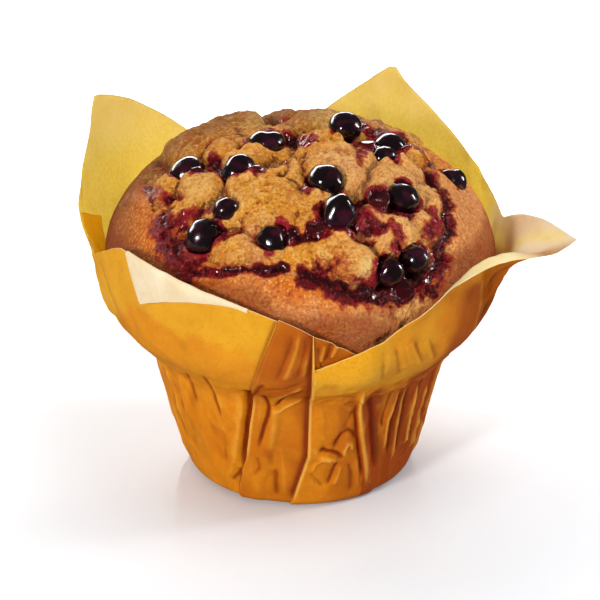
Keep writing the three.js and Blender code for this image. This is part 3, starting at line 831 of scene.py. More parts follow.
paperPaint = {
    "dry": (230, 168, 34), "dryDeep": (218, 150, 22), "brightYellow": (250, 176, 28),
    "fat": (228, 142, 16), "fatDeep": (208, 116, 6), "doubled": (160, 62, 4),
    # the ridge and valley colours are painted highlight and shade on the folds, the two line colours painted
    # highlight and shade along creases and cut edges
    "speck": (176, 88, 16), "grain": (188, 104, 12), "ridge": (252, 184, 60), "valley": (126, 40, 2),
    "lineHighlight": (255, 206, 96), "lineShade": (128, 34, 2), "lightThrough": (255, 246, 200),
    "cream": (238, 222, 192), "creamDeep": (228, 203, 162), "yellow": (240, 220, 148),
    "yellowDeep": (232, 208, 104), "deepYellow": (252, 220, 64), "paleGrain": (255, 238, 150),
    "innerValleyShade": (196, 138, 40),
    "bumpDistance": 0.0004,
}


def finishPaper(tree, surface, links, colourThrough, share):  # its gloss, and the light through it
    shader = addNode(tree, "ShaderNodeBsdfPrincipled", links)
    through = addNode(tree, "ShaderNodeBsdfTranslucent", {"Color": colourThrough})
    mixed = addNode(tree, "ShaderNodeMixShader", {0: share, 1: shader.outputs[0], 2: through.outputs[0]})
    tree.links.new(mixed.outputs[0], surface)


def paperOutside():
    material, tree, surface = newMaterial("paper_outside")
    soak, foldShade, line, thin = painted(tree, "soak", "foldShade", "line", "thin")
    clothMask, clothGrain = mottled(tree, 120.0, 1500.0, 0.45)
    patchMask, _ = mottled(tree, 45.0, 420.0, 0.35)
    paint = paperPaint
    # soak below 0 paints a brighter yellow: painted light on the front right band, and the tuck's colour
    dry = coated(tree, linear(*paint["dry"]),
                 (paint["dryDeep"], clothMask), (paint["brightYellow"], stretch(tree, soak, -0.1, -1.0, 0.0, 0.75)))
    fatty = coated(tree, linear(*paint["fat"]), (paint["fatDeep"], patchMask))
    specked = combine(tree, stretch(tree, clothGrain, 0.56, 0.75, 0.0, 0.35), soak)
    # painted shade in the valleys of the folds, and further down a painted highlight on their ridges
    shaded = combine(tree, stretch(tree, foldShade, 0.0, -0.6, 0.0, 0.6), stretch(tree, soak, 0.1, 0.8, 0.45, 1.0))
    # painted highlight along the lines, weaker where the paper is browner; painted shade along them further
    # down
    litLine = combine(tree, stretch(tree, line, 0.08, 0.9, 0.0, 0.5), stretch(tree, soak, 1.0, 1.8, 1.0, 0.5))
    colour = coated(
        tree, blendColour(tree, dry, fatty, combine(tree, soak, 1.0, clamp=True)),
        # soak above 1 darkens to this brown, painted shade in the zones on the right
        (paint["doubled"], stretch(tree, soak, 1.0, 2.0, 0.0, 0.95)),
        (paint["speck"], specked),
        (paint["ridge"], stretch(tree, foldShade, 0.06, 0.7, 0.0, 0.32)),
        (paint["valley"], shaded),
        (paint["grain"], stretch(tree, clothGrain, 0.5, 0.36, 0.0, 0.3)),
        (paint["lineHighlight"], litLine),
        (paint["lineShade"], stretch(tree, line, -0.1, -0.9, 0.0, 0.82)))
    dryShare = combine(tree, stretch(tree, thin, 0.0, 1.0, 0.0, 0.85),
                       stretch(tree, soak, 0.4, 1.1, 1.0, 0.1))
    lit = coated(tree, colour, (paint["lightThrough"], dryShare))
    links = {"Base Color": colour, "Roughness": stretch(tree, soak, 0.0, 1.0, 0.6, 0.36),
             "Normal": bumped(tree, clothGrain, 0.22, paint["bumpDistance"]), "Specular IOR Level": 0.15}
    finishPaper(tree, surface, links, lit, stretch(tree, thin, 0.0, 1.0, 0.06, 0.8))
    return material


def paperInside():
    material, tree, surface = newMaterial("paper_inside")
    glow, foldShade, thin = painted(tree, "glow", "foldShade", "thin")
    clothMask, clothGrain = mottled(tree, 150.0, 1400.0, 0.4)
    paint = paperPaint
    cream = coated(tree, linear(*paint["cream"]), (paint["creamDeep"], clothMask))
    yellow = coated(tree, linear(*paint["yellow"]), (paint["yellowDeep"], clothMask))
    paler = combine(tree, stretch(tree, clothGrain, 0.42, 0.6, 0.0, 0.3), glow, clamp=True)
    # the valleys of the folds get painted shade on the inside too
    colour = coated(
        tree, blendColour(tree, cream, yellow, combine(tree, glow, 1.0, clamp=True)),
        (paint["deepYellow"], stretch(tree, glow, 1.0, 2.0, 0.0, 0.9)),
        (paint["paleGrain"], paler),
        (paint["innerValleyShade"], stretch(tree, foldShade, -0.05, -0.9, 0.0, 0.4)))
    links = {"Base Color": colour, "Roughness": 0.6,
             "Normal": bumped(tree, clothGrain, 0.25, paint["bumpDistance"]), "Specular IOR Level": 0.2}
    finishPaper(tree, surface, links, colour, stretch(tree, thin, 0.0, 1.0, 0.12, 0.76))
    return material


outsidePaper, insidePaper = paperOutside(), paperInside()
caseSheet, caseFlap, caseTuck = makeSheet(), makeFlap(), makeTuck()
for piece in (caseSheet, caseFlap, caseTuck):
    piece.data.materials.append(outsidePaper)
    piece.data.materials.append(insidePaper)
    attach(piece, "root")
    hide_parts("paper_case")
print("paper case:", len(caseSheet.data.polygons), "faces")


# the muffin

cake = {
    "crownRadius": 42.4, "skirtStart": 44.0, "skirtInset": 0.3, "widest": 50.0, "rise": 25.5, "power": 2.3,
    "gap": 0.7, "wallGap": 2.3,  # from the paper's outer face to the cake, at the crown and in the cup
    "rings": 144,
    "detailTo": 65.0,  # distance down from the top, along the crust, that the fine grid covers
    "skirtRows": [46, 43, 40],
    "wallRows": [40, 34.5, 32, 29, 18, 9, 3.2, 1.5, 0],
    "crackDepth": 1.9, "craterEdge": 1.6,
    "hollows": [(1.3, 2), (0.6, 6), (0.22, 15)],  # for the painted shade and highlight: share, and how many points around are looked at
}

# lumps of risen batter: x, y, half width, rise
lumps = [
    (-7, -21, 9.5, 1.8), (-5, -26, 9.0, 1.6), (-11, -24, 7.0, 1.4), (0.5, -27, 7.0, 1.3),
    (-10, -18.5, 6.0, 1.5), (9, -9, 8.5, 2.6), (10, -15, 6.5, 1.9), (5, -12, 6.0, 2.1),
    (19.5, -14, 7.5, 2.2), (22, -8, 6.5, 1.8), (15.5, -19, 5.0, 1.5), (26.5, -15, 5.0, 1.2),
    (27, -22, 5.0, 1.3), (21, -26.5, 5.5, 1.5), (14, -26, 5.0, 1.3), (18, -30, 4.5, 1.1),
    (7, -34.4, 6.6, 1.7), (11, -35.4, 5.0, 1.9), (14.5, -35.8, 3.4, 1.8), (-14, -32.5, 5.0, 1.0),
    (-7, -35, 4.5, 0.9), (0, -35.6, 4.0, 0.7), (-21, -15, 5.5, 1.7), (-24.5, -19.5, 5.0, 1.0),
    (-2, -14, 4.6, 1.4), (-12, -6, 5.5, 1.3), (-16, 1, 6.5, 1.6), (4.5, 0.5, 5.5, 1.6), (-7, 7, 8.0, 1.4),
    (4, 14, 8.0, 2.6), (-22, 8, 10.5, 3.0), (-14, 15, 8.0, 3.0), (13, 13, 7.5, 1.8), (24, 2, 5.5, 1.3),
    (22, 12, 7.0, 1.6), (-29, -9, 5.0, 1.1), (30, -3, 4.5, 0.8), (-26, 18, 7.0, 1.5), (-15, 26, 8.0, 1.8),
    (-3, 24, 8.0, 1.6), (9, 24, 7.5, 1.9), (19, 22, 7.0, 1.4), (-4, 33, 6.0, 1.0), (-16, -25, 4.5, 0.9),
    (3, -6, 4.0, 1.3), (14.5, -2, 4.0, 1.0), (26, -29, 4.0, 0.8),
]

# lumps that rose as one
families = [(0, 1, 2, 3, 4, 43, 24), (5, 6, 7, 44), (8, 9, 10), (11, 12, 13),
            (14, 15, 16, 17, 18, 19, 20, 21), (22, 23), (25, 26), (27, 45), (30, 31), (28, 29), (33, 34, 32)]

craterOutline = [
    (-34, -5), (-31, -13), (-29, -20), (-27, -27), (-23.5, -31.5), (-15, -35.5), (-4, -37.3), (2, -38.6),
    (9, -40.4), (16, -39.2), (22.4, -36.2), (27.8, -31.4), (31.2, -25), (31.8, -15), (31, -6), (30, 3),
    (27, 13), (19, 24), (8, 32), (-8, 33), (-22, 27), (-31, 15), (-34, 4),
]

# cracks where the risen batter parted: points on the crown, half width, depth
cracks = [
    ([(16, -6.5), (15.4, -10), (15, -14.4), (13.4, -19), (12.2, -21.8)], 0.8, 1.5),
    ([(2.6, -4), (1.6, -9), (1, -14), (0.2, -18)], 0.7, 0.9),
    ([(-5.4, -13.2), (-3.6, -17.8), (-0.2, -20.6), (1.2, -22.4)], 0.6, 0.9),
    ([(-15.8, -19.5), (-13.6, -23), (-12, -26.5), (-11.8, -29.5)], 0.6, 0.7),
    ([(-5.6, 7), (-6.4, 12), (-6.2, 18), (-7, 24)], 1.3, 2.8),
    ([(-16, 3), (-12, -1), (-12.5, -5)], 0.8, 1.0),
    ([(-20, -10), (-17, -18), (-19, -22)], 0.7, 0.9),
    ([(1.5, 9), (6, 4), (7, -1)], 0.8, 1.1),
    ([(17, -8), (20.5, -8.6), (25, -10.5)], 0.6, 0.8),
    ([(24.5, 1), (24.6, -6)], 0.5, 0.9),
    ([(17.5, -24.6), (22, -23.4), (25.5, -26)], 0.6, 0.7),
    ([(-28, -12), (-25, -17), (-27, -20)], 0.7, 0.8),
    ([(-11, 22), (-17, 20), (-25, 13)], 0.9, 1.4),
    ([(6, 20), (13, 19), (20, 16)], 0.9, 1.3),
    ([(0.6, -20.3), (4.7, -21.6), (8.5, -22.6), (12.8, -21.2)], 0.7, 1.3),
    ([(-4.9, -5.3), (-2.7, -11.5), (-4.2, -17.1), (0.6, -20.3)], 0.7, 1.0),
    ([(3.4, -1.6), (7.7, -0.5), (11.7, -3.9), (14.6, -7.7)], 0.8, 1.2),
    ([(23.6, -5.4), (26.2, -8.9), (26.6, -15.6), (25.1, -21.8)], 0.7, 1.0),
    ([(12.8, -24.1), (17.5, -23.4), (22.4, -22.3), (25, -18.8)], 0.6, 0.9),
    ([(0, 7), (-2.6, 1.8), (-5.3, -0.3), (-8.1, 0.1)], 0.8, 1.1),
    ([(-10.4, 9), (-6.9, 4.9)], 0.8, 0.9),
    ([(-16.3, -14.7), (-15.4, -18.4), (-14.9, -21.6)], 0.7, 0.9),
]

# juice that boiled out: points on the crown, half width, depth of the furrow, strength of the stain, wetness
juiceRuns = [
    ([(-29, -20), (-28, -25), (-26, -29), (-23, -32)], 3.4, 0.15, 0.85, 0.35),
    ([(-24, -23), (-20, -22), (-17, -24)], 1.8, 0.2, 0.75, 0.3),
    ([(-23, -32.3), (-17, -35.2), (-10, -36.9), (-3, -37.1)], 1.1, 0.9, 1.0, 0.45),
    ([(-20, -31), (-16, -30), (-12, -29.5)], 1.3, 0.2, 0.7, 0.2),
    ([(-33, -5), (-31, -10), (-26, -16)], 1.7, 0.2, 0.7, 0.35),
    ([(-18, -4), (-17.5, -9), (-17, -13)], 1.8, 0.4, 0.85, 0.4),
    ([(-21.5, -8), (-20.5, -12)], 1.3, 0.2, 0.9, 0.9),
    ([(-8, -13.5), (-5, -12.5), (-3, -11)], 1.1, 0.2, 0.7, 0.4),
    ([(-2, 3), (0.5, -0.5), (1.5, -3.5)], 2.4, 0.3, 0.95, 0.7),
    ([(0.5, -21.5), (4, -23)], 1.2, 0.3, 0.85, 0.6),
    ([(-3.5, -33), (0.5, -32.8), (4.5, -32.2)], 1.3, 0.7, 1.0, 0.6),
    ([(11, -4), (12, -8), (12.5, -12.5)], 1.5, 0.2, 0.75, 0.4),
    ([(11.5, -25.5), (13.5, -27.6), (16, -28.6)], 2.1, 0.4, 0.95, 0.45),
    ([(18.4, -26.6), (20.6, -28.6), (20, -31)], 1.5, 0.3, 0.8, 0.3),
    ([(1.2, -38.2), (5.1, -39.2), (9.9, -39.5), (15.8, -38.0)], 2.9, 1.2, 1.0, 0.3),
    ([(14, -38.2), (20.8, -35.2), (25.8, -31.6), (29, -26.6)], 3.7, 1.0, 1.0, 0.6),
    ([(28, -28), (30.3, -23.5), (30.9, -17.8), (30, -10.5), (27.2, -5)], 2.3, 0.4, 0.85, 0.8),
    ([(9.3, -31.2), (11.8, -32), (14.6, -31.6)], 1.5, 0.2, 0.75, 0.6),
    ([(3.6, -36.4), (8.8, -37.4), (13.6, -37), (18, -35.8)], 2.4, 0.9, 0.5, 0.1),
    ([(27, -24), (27.5, -19)], 2.2, 0.4, 0.8, 0.4),
    ([(24, -31), (20, -35), (16, -35.5)], 2.2, 0.7, 1.0, 0.8),
    ([(13.5, 9), (16.5, 7)], 2.6, 0.6, 1.0, 0.9),
    ([(15, 0), (17, -5)], 2.2, 0.5, 0.9, 0.9),
    ([(24, 3), (28, -1)], 1.4, 0.3, 0.7, 0.4),
    ([(-26, 16), (-20, 24), (-10, 29)], 1.8, 0.7, 0.9, 0.4),
    ([(2, 31), (12, 29), (20, 22)], 2.0, 0.8, 0.95, 0.5),
    ([(-9, 20), (-2, 17)], 1.6, 0.5, 0.8, 0.4),
]

# pools of syrup beside berries: x, y, radius
pools = [
    (16.1, -22.2, 2.9), (-9.3, -14.2, 2.1), (-1.6, -32.8, 1.8), (3.2, -31.3, 1.7), (17.2, -3.5, 2.6),
    (-20.6, -10.6, 1.6), (14.2, -1.2, 1.7), (22.5, -34.5, 2.2), (9.5, -22.6, 1.2), (-16.2, -21.6, 1.2),
]

# x, y, radius, strength
paleSpots = [
    (13.6, -36.6, 3.4, 1.0), (17, -36, 2.4, 0.8), (-9, 12, 5, 0.35), (6, 12, 5, 0.3), (-22, -16, 4, 0.25),
    (4, -30.5, 2.0, 0.4),
]

berryTable = {  # half width, half height, peak, dent, squeeze, spin
    "berry_01": (4.0, 3.2, 0.00, 0.10, 0.06, 20), "berry_02": (3.9, 3.5, 0.02, 0.12, 0.00, 70),
    "berry_03": (2.9, 2.8, 0.02, 0.08, 0.04, 10), "berry_04": (3.7, 3.2, 0.00, 0.14, 0.05, 120),
    "berry_05": (3.8, 3.0, 0.16, 0.30, 0.10, 35), "berry_06": (3.9, 3.0, 0.05, 0.12, 0.06, 200),
    "berry_07": (4.0, 3.0, 0.00, 0.08, 0.05, 300), "berry_08": (4.2, 4.0, 0.26, 0.16, 0.06, 80),
    "berry_09": (3.8, 3.3, 0.00, 0.08, 0.00, 140), "berry_10": (3.8, 3.0, 0.06, 0.16, 0.06, 220),
    "berry_11": (3.0, 2.4, 0.02, 0.34, 0.12, 15), "berry_12": (3.9, 3.0, 0.04, 0.12, 0.05, 5),
    "berry_13": (3.0, 2.8, 0.02, 0.14, 0.06, 160), "berry_14": (3.2, 3.2, 0.02, 0.26, 0.04, 210),
    "berry_15": (3.1, 3.1, 0.02, 0.20, 0.04, 330), "berry_16": (3.8, 3.1, 0.02, 0.14, 0.05, 50),
    "berry_17": (3.6, 3.2, 0.03, 0.18, 0.05, 110), "berry_18": (3.9, 3.3, 0.02, 0.12, 0.04, 260),
    "berry_19": (3.0, 2.7, 0.03, 0.15, 0.05, 180),
}

bedding = {  # in mm and half widths, for each berry that differs from the usual
    "usuallySunk": 0.25,
    "sunk": {"berry_01": 0.1, "berry_03": 0.1, "berry_04": 0.0, "berry_06": 0.5, "berry_07": 0.9,
             "berry_08": 0.7, "berry_09": -0.2, "berry_10": -0.5, "berry_11": 0.4, "berry_12": 0.1,
             "berry_13": -0.6},
    "usuallySeeping": 0.74,
    "seeping": {"berry_02": 1.0, "berry_05": 0.92, "berry_06": 0.86, "berry_08": 0.86, "berry_10": 1.02,
                "berry_11": 1.05, "berry_12": 0.78, "berry_13": 1.0, "berry_14": 1.1, "berry_15": 1.1,
                "berry_16": 0.9, "berry_17": 0.9},
    # crust risen in front, then syrup drawn up in front: rise, width
    "cover": {"berry_01": 0.1, "berry_05": 0.1, "berry_06": 0.3, "berry_07": 1.5, "berry_09": 0.4,
              "berry_13": -0.9},
    "collars": {"berry_08": (0.7, 0.3), "berry_12": (0.3, 0.3)},
    "socket": 1.4, "risen": (0.2, 0.85),  # depth of the socket, and the crust's rise behind and in front
}


def domeHeight(r):
    t = np.clip(r / cake["crownRadius"], 0, 1)
    return cake["widest"] + cake["rise"] * np.sqrt(np.maximum(0, 1 - t ** cake["power"]))


def domeNormal(x, y):
    r = np.maximum(np.hypot(x, y), 1e-6)
    near, step = np.minimum(r, cake["crownRadius"] * 0.99), 0.03
    slope = (domeHeight(near + step) - domeHeight(near - step)) / (2 * step)
    normal = np.stack([-slope * x / r, -slope * y / r, np.ones_like(r)], -1)
    return normal / np.linalg.norm(normal, axis=-1, keepdims=True)


def onDome(x, y):
    return np.stack([x, y, domeHeight(np.hypot(x, y))], -1)


def domeLine(points):
    return onDome(*np.array(points, float).T)


def cakeWall(row):  # the cake's own side, a little inside the paper
    r, z, lean = [float(v) for v in wallAt(0.0, float(row))]
    gap = lerp(cake["wallGap"], cake["gap"], float(rising(row, 31, 38)))
    return r - gap * math.cos(lean), z + gap * math.sin(lean)


def crustProfile():  # radius, height and distance down the crust from the top
    radius = cake["crownRadius"] * np.sin(np.linspace(0, math.pi / 2, 400))
    under = [(cake["crownRadius"] - cake["skirtInset"], cake["skirtStart"])]
    under += [cakeWall(row) for row in cake["skirtRows"]]
    height = np.concatenate([domeHeight(radius), [p[1] for p in under]])
    radius = np.concatenate([radius, [p[0] for p in under]])
    steps = np.hypot(np.diff(radius), np.diff(height))
    return radius, height, np.concatenate([[0], np.cumsum(steps)])


def discGrid(n):  # a square grid bent to a disc: ring number 0 to 1, and azimuth
    line = np.arange(-n, n + 1) / n
    a, b = np.meshgrid(line, line, indexing="xy")
    ring = np.maximum(np.abs(a), np.abs(b))
    safe = np.where(ring == 0, 1, ring)
    sideways = np.where(a >= 0, 0, 180) + 45 * b / np.where(a == 0, safe, a)
    upward = np.where(b >= 0, 90, 270) - 45 * a / np.where(b == 0, safe, b)
    return ring.ravel(), np.where(np.abs(a) >= np.abs(b), sideways, upward).ravel()


def insideOutline(points, outline):
    inside = np.zeros(len(points), bool)
    x, y = points[:, 0], points[:, 1]
    for (x0, y0), (x1, y1) in zip(outline, outline[1:] + outline[:1]):
        crosses = (y0 > y) != (y1 > y)
        inside ^= crosses & (x < (x1 - x0) * (y - y0) / (y1 - y0 + 1e-12) + x0)
    return inside


def berryPlaces():  # centre, outward direction, half width and half height of each
    places = {}
    for name, (halfWidth, halfHeight, *_) in berryTable.items():
        low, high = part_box(name)
        centre = np.array([(low[k] + high[k]) / 2 / mm for k in range(3)])
        normal = domeNormal(centre[:1], centre[1:2])[0]
        sunk = bedding["sunk"].get(name, bedding["usuallySunk"])
        places[name] = (centre - normal * sunk, normal, halfWidth, halfHeight)
    return places


berries = berryPlaces()


batter = {"steepness": 2.6, "roundness": 0.62, "creaseWidth": 0.32, "creaseDepth": 1.25, "withinFamily": 0.12,
          "flow": 0.3, "flowWidth": 0.5, "underLip": 0.2, "lipAt": 1.6, "lipWidth": 1.5, "crackDepth": 1.5}


def risenBatter(base, moved):  # lumps over the smooth dome, parted by creases
    floor = -cake["crackDepth"]
    first, second = np.full(len(base), floor), np.full(len(base), floor)
    owner, other = np.full(len(base), -1), np.full(len(base), -1)
    for number, (x, y, width, rise) in enumerate(lumps):
        near = np.linalg.norm(moved - onDome(x, y), axis=1) / width
        dome = np.clip(1 - near ** batter["steepness"], 0, 1) ** batter["roundness"]
        height = (rise - floor) * dome + floor
        family = next((k for k, members in enumerate(families) if number in members), len(families) + number)
        over, middle = height > first, (height > second) & (height <= first)
        other = np.where(over, owner, np.where(middle, family, other))
        second = np.where(over, first, np.where(middle, height, second))
        owner, first = np.where(over, family, owner), np.where(over, height, first)
    apart = np.where(owner == other, batter["withinFamily"], 1.0)  # one batch shows few creases within itself
    crease = hill(first - second, batter["creaseWidth"]) * rising(first, -1.4, 0.2) * apart
    crease *= smooth(0.5 + 0.8 * grainNoise(base, 6.5, 60))
    flow = batter["flow"] * np.exp(-(first - second) / batter["flowWidth"])  # neighbours mostly flow together
    return first + flow - batter["creaseDepth"] * crease


def raiseCrown(base, moved):  # the height of the crust over the dome, and where it is craggy
    edge = domeLine(craterOutline)
    edgeGap, _ = lineDistance(moved, np.concatenate([edge, edge[:1]]))
    inward = np.where(insideOutline(moved[:, :2], craterOutline), edgeGap, -edgeGap)
    crag = rising(inward, -cake["craterEdge"], cake["craterEdge"])
    deepest = -cake["crackDepth"] * lerp(batter["underLip"], 1, rising(inward, 0, 6.5))
    height = np.maximum(risenBatter(base, moved), deepest) * crag
    lip = hill(inward + batter["lipAt"], batter["lipWidth"])  # it runs round the crater
    height += lip * (0.25 + 0.3 * grainNoise(base, 8, 67))
    for points, width, depth in cracks:
        gap, along = lineDistance(moved, domeLine(points))
        height -= batter["crackDepth"] * depth * np.exp(-((gap / width) ** 1.3)) * taperAt(along, 0.2)
    return height, crag


def raiseTo(crust, key, value):
    crust[key] = np.maximum(crust[key], value)


def boilJuice(crust, moved, tatter):
    for points, width, depth, stain, wetness in juiceRuns:
        gap, _ = lineDistance(moved, domeLine(points))
        reach = gap / width + 0.75 * tatter
        crust["height"] -= depth * hill(gap, width * 0.9) * (0.8 + 0.5 * tatter)
        raiseTo(crust, "juice", stain * falling(reach, 0.3, 1.4))
        raiseTo(crust, "wet", wetness * falling(reach, 0.35, 0.95))


syrup = {"steepFrom": 34, "fill": 0.8, "tilt": 0.02, "ripples": [(0.035, 1.6, 89)]}


def pourPools(crust, base, normal, moved, tatter):
    ripple = summedNoise(base, syrup["ripples"])
    for x, y, radius in pools:
        centre = onDome(x, y)
        gap = np.linalg.norm(moved - centre, axis=1) / radius
        raiseTo(crust, "pool", falling(gap, 0.72, 1.17))
        raiseTo(crust, "juice", falling(gap + 0.5 * tatter, 1.0, 1.5))
        if math.hypot(x, y) < syrup["steepFrom"]:  # it lies level where the crust isn't too steep for it
            under = gap < 1
            surface = (base[under, 2] + normal[under, 2] * crust["height"][under]).mean() + syrup["fill"]
            surface = surface + syrup["tilt"] * (centre[1] - base[:, 1])
            level = (surface - base[:, 2]) / np.maximum(normal[:, 2], 0.3)
            crust["height"] = lerp(crust["height"], level + ripple, falling(gap, 0.66, 1.0))


def bedBerries(crust, base, normal, tatter):  # sockets, with crust risen round them and juice seeping out
    seep = grainNoise(base, 5.0, 83)
    for name, (centre, up, halfWidth, _) in berries.items():
        offset = base + normal * crust["height"][:, None] - centre
        reach = np.linalg.norm(offset - (offset @ up)[:, None] * up, axis=1) / halfWidth
        close = reach < 2.2
        ahead = smooth(0.2 - offset[:, 1] / halfWidth)
        risen = lerp(*bedding["risen"], ahead) * hill(reach - 1.14, 0.22)
        risen += bedding["cover"].get(name, 0.0) * hill(reach - 1.12, 0.34) * ahead
        crust["height"] += np.where(close, risen, 0) - bedding["socket"] * falling(reach, 0.63, 0.98)
        seeped = bedding["seeping"].get(name, bedding["usuallySeeping"])
        raiseTo(crust, "juice", 0.9 * falling(reach + 0.5 * tatter + 1.25 * seep, seeped, seeped + 0.3))
        raiseTo(crust, "pool", 0.9 * falling(reach + 0.2 * tatter + 0.3 * seep, seeped + 0.02, seeped + 0.12))
        if name in bedding["collars"]:
            drawnUp, width = bedding["collars"][name]
            collar = ahead * falling(reach + 0.15 * tatter, 1 + 0.6 * width, 1 + 1.2 * width)
            slope = np.exp(-np.maximum(reach - 0.95, 0) / width)
            crust["height"] += np.where(close, drawnUp * ahead * slope, 0)
            raiseTo(crust, "pool", collar)
            raiseTo(crust, "juice", collar)


roughness = {  # height, size, seed
    "crag": [(0.55, 4.6, 73), (0.4, 2.1, 74), (0.3, 1.1, 75)],
    "skirt": [(0.10, 3.0, 77), (0.05, 1.2, 78), (0.35, 14, 79)],
    "juice": [(0.2, 1.3, 82)],
    "tatter": [(0.5, 2.4, 71), (0.35, 1.1, 72)],
    "crumb": 0.85, "pit": 0.55, "flake": 0.38,
}


def roughen(crust, base, small):  # flakes, crumbs and pits, where no syrup covers them
    crag, calm = crust["crag"], 1 - crust["pool"]
    crumbs = roughness["crumb"] * np.clip(0.62 - cellPits(base, 1.6, 76), 0, 1)
    pits = np.clip(0.36 - cellPits(base, 1.7, 80), 0, 1) * (1 - crag)
    flake, seam = cellSteps(base + 0.6 * small, 2.6, 84)
    speck, _ = cellSteps(base, 1.15, 85)
    flake, speck = flake - 0.5, speck - 0.5
    flaky = smooth(0.45 + 1.2 * grainNoise(base, 7.5, 86))
    rough = summedNoise(base, roughness["crag"]) + (0.1 + 0.2 * flaky) * speck
    rough += flaky * (roughness["flake"] * flake - 0.25 * np.exp(-seam / 0.08))
    rough += crumbs * (0.4 + 0.6 * smooth(grainNoise(base, 6, 81) + 0.4))
    plain = summedNoise(base, roughness["skirt"])
    juicy = crust["juice"] * summedNoise(base, roughness["juice"])
    crust["height"] += calm * (crag * rough + (1 - crag) * plain - roughness["pit"] * pits + juicy)
    crust["pits"] = 2.2 * pits
    crust["flake"] = np.clip(0.5 + (0.6 * flake + 0.5 * speck) * (0.4 + 0.6 * flaky), 0, 1)


def bake(crust, base, moved, tatter):  # pale, toasted and damp places
    x, y = base[:, 0], base[:, 1]
    for spotX, spotY, radius, strength in paleSpots:
        gap = np.linalg.norm(moved - onDome(spotX, spotY), axis=1) / radius
        raiseTo(crust, "pale", strength * falling(gap + 0.4 * tatter, 0.6, 1.1))
    browner = (3.2 * np.maximum(y, -8) - 0.8 * x) / 60  # darker towards the back left, and paler on the right, a painted sheen of the light from the right
    browner += 0.8 * falling(x, -38, -28) + 0.35 * rising(y, 12, 26)
    crust["sideTone"] = np.clip(0.5 + 0.5 * browner + 0.35 * grainNoise(base, 16, 87), 0, 1)
    # painted shade: the crust darker where the paper stands close to it
    azimuth = np.degrees(np.arctan2(y, x)) % 360
    rim = sum(rimHeight(azimuth + step) for step in (-12, -6, 0, 6, 12)) / 5
    above = base[:, 2] - np.clip(rim, 57.5, 63) + grainNoise(base, 5, 88)
    crust["paperShade"] = (1 - crust["crag"]) * falling(above, -5.2, -1.8)


def crownSurface(base, normal):  # the height of the crust over the smooth dome, and what is painted on it
    small = noiseVector(base, 2.6, 64)
    moved = base + 1.5 * noiseVector(base, 7.0, 61) + 0.55 * small
    tatter = summedNoise(base, roughness["tatter"])
    crust = {key: np.zeros(len(base)) for key in ("juice", "wet", "pool", "pale")}
    crust["height"], crust["crag"] = raiseCrown(base, moved)
    boilJuice(crust, moved, tatter)
    pourPools(crust, base, normal, moved, tatter)
    bedBerries(crust, base, normal, tatter)
    roughen(crust, base, small)
    bake(crust, base, moved, tatter)
    raiseTo(crust, "wet", crust["pool"])
    return crust.pop("height"), crust


def spreadOut(grid, reach):  # each point's mean over its neighbours that near
    for axis in (0, 1):
        grid = sum(np.roll(grid, k, axis) for k in range(-reach, reach + 1)) / (2 * reach + 1)
    return grid


def makeMuffin():
    side = 2 * cake["rings"] + 1
    ring, azimuth = discGrid(cake["rings"])
    down = ring * cake["detailTo"]
    profileRadius, profileHeight, profileDown = crustProfile()
    z = np.interp(down, profileDown, profileHeight)
    base = turned(np.interp(down, profileDown, profileRadius), azimuth, z)
    onSide = (z < cake["widest"])[:, None]
    normal = np.where(onSide, turned(1, azimuth, 0), domeNormal(base[:, 0], base[:, 1]))
    height, paint = crownSurface(base, normal)
    grid = height.reshape(side, side)
    # painted shade and highlight: above 0.5 where a point lies below its neighbours, below 0.5 where it
    # stands above them
    hollow = sum(share * (spreadOut(grid, reach) - grid) for share, reach in cake["hollows"])
    paint["hollow"] = np.clip(0.5 + 0.5 * hollow.ravel(), 0, 1)
    fade = falling(down, 56, 63)
    for key in ("juice", "wet", "pool", "pale"):
        paint[key] = paint[key] * fade
    # rings of the wall go on from the grid's border down to the base
    faces = gridFaces(side, side)
    index = np.arange(side * side).reshape(side, side)
    last = np.concatenate([index[0, :-1], index[:-1, -1], index[-1, :0:-1], index[:0:-1, 0]])
    turn, rings, total = azimuth[last], [base + normal * (height * fade)[:, None]], side * side
    for row in cake["wallRows"]:
        fresh = np.arange(total, total + len(last))
        rings.append(turned(cakeWall(row)[0], turn, cakeWall(row)[1]))
        faces += np.stack([np.roll(last, -1), last, fresh, np.roll(fresh, -1)], 1).tolist()
        last, total = fresh, total + len(last)
    rings.append(np.array([[0, 0, rings[-1][0, 2]]]))
    faces += [(after, before, total) for before, after in zip(last.tolist(), np.roll(last, -1).tolist())]
    points = np.concatenate(rings)
    paint = {key: np.pad(value, (0, len(points) - len(value))) for key, value in paint.items()}
    return makeMesh("muffin_crumb", points, faces, paint)


crumbPaint = {
    "skirt": (244, 140, 42), "skirtDeep": (222, 110, 22), "pit": (130, 54, 8), "skirtCavityShade": (120, 52, 10),
    "crust": (240, 166, 50), "crustDeep": (214, 128, 28), "crustRidgeHighlight": (250, 196, 112),
    "crustCavityShade": (104, 44, 8),
    "paler": (232, 172, 118), "darkerBack": (108, 58, 28), "pale": (238, 196, 120), "rosy": (222, 156, 118),
    "raisedFlake": (252, 200, 120), "sunkenFlake": (166, 86, 20), "lightGrain": (255, 202, 118),
    "darkGrain": (146, 62, 8), "paperShade": (140, 48, 4),
    "halo": (176, 56, 26), "stain": (150, 8, 20), "stainDeep": (62, 3, 12), "stainCavityShade": (32, 1, 8),
    "stainRidgeHighlight": (188, 42, 52), "stainGrain": (210, 92, 82), "stainDarkGrain": (30, 1, 8),
    "syrup": (34, 2, 6),
    "bumpStrength": 0.9, "bumpDistance": 0.0009,
}


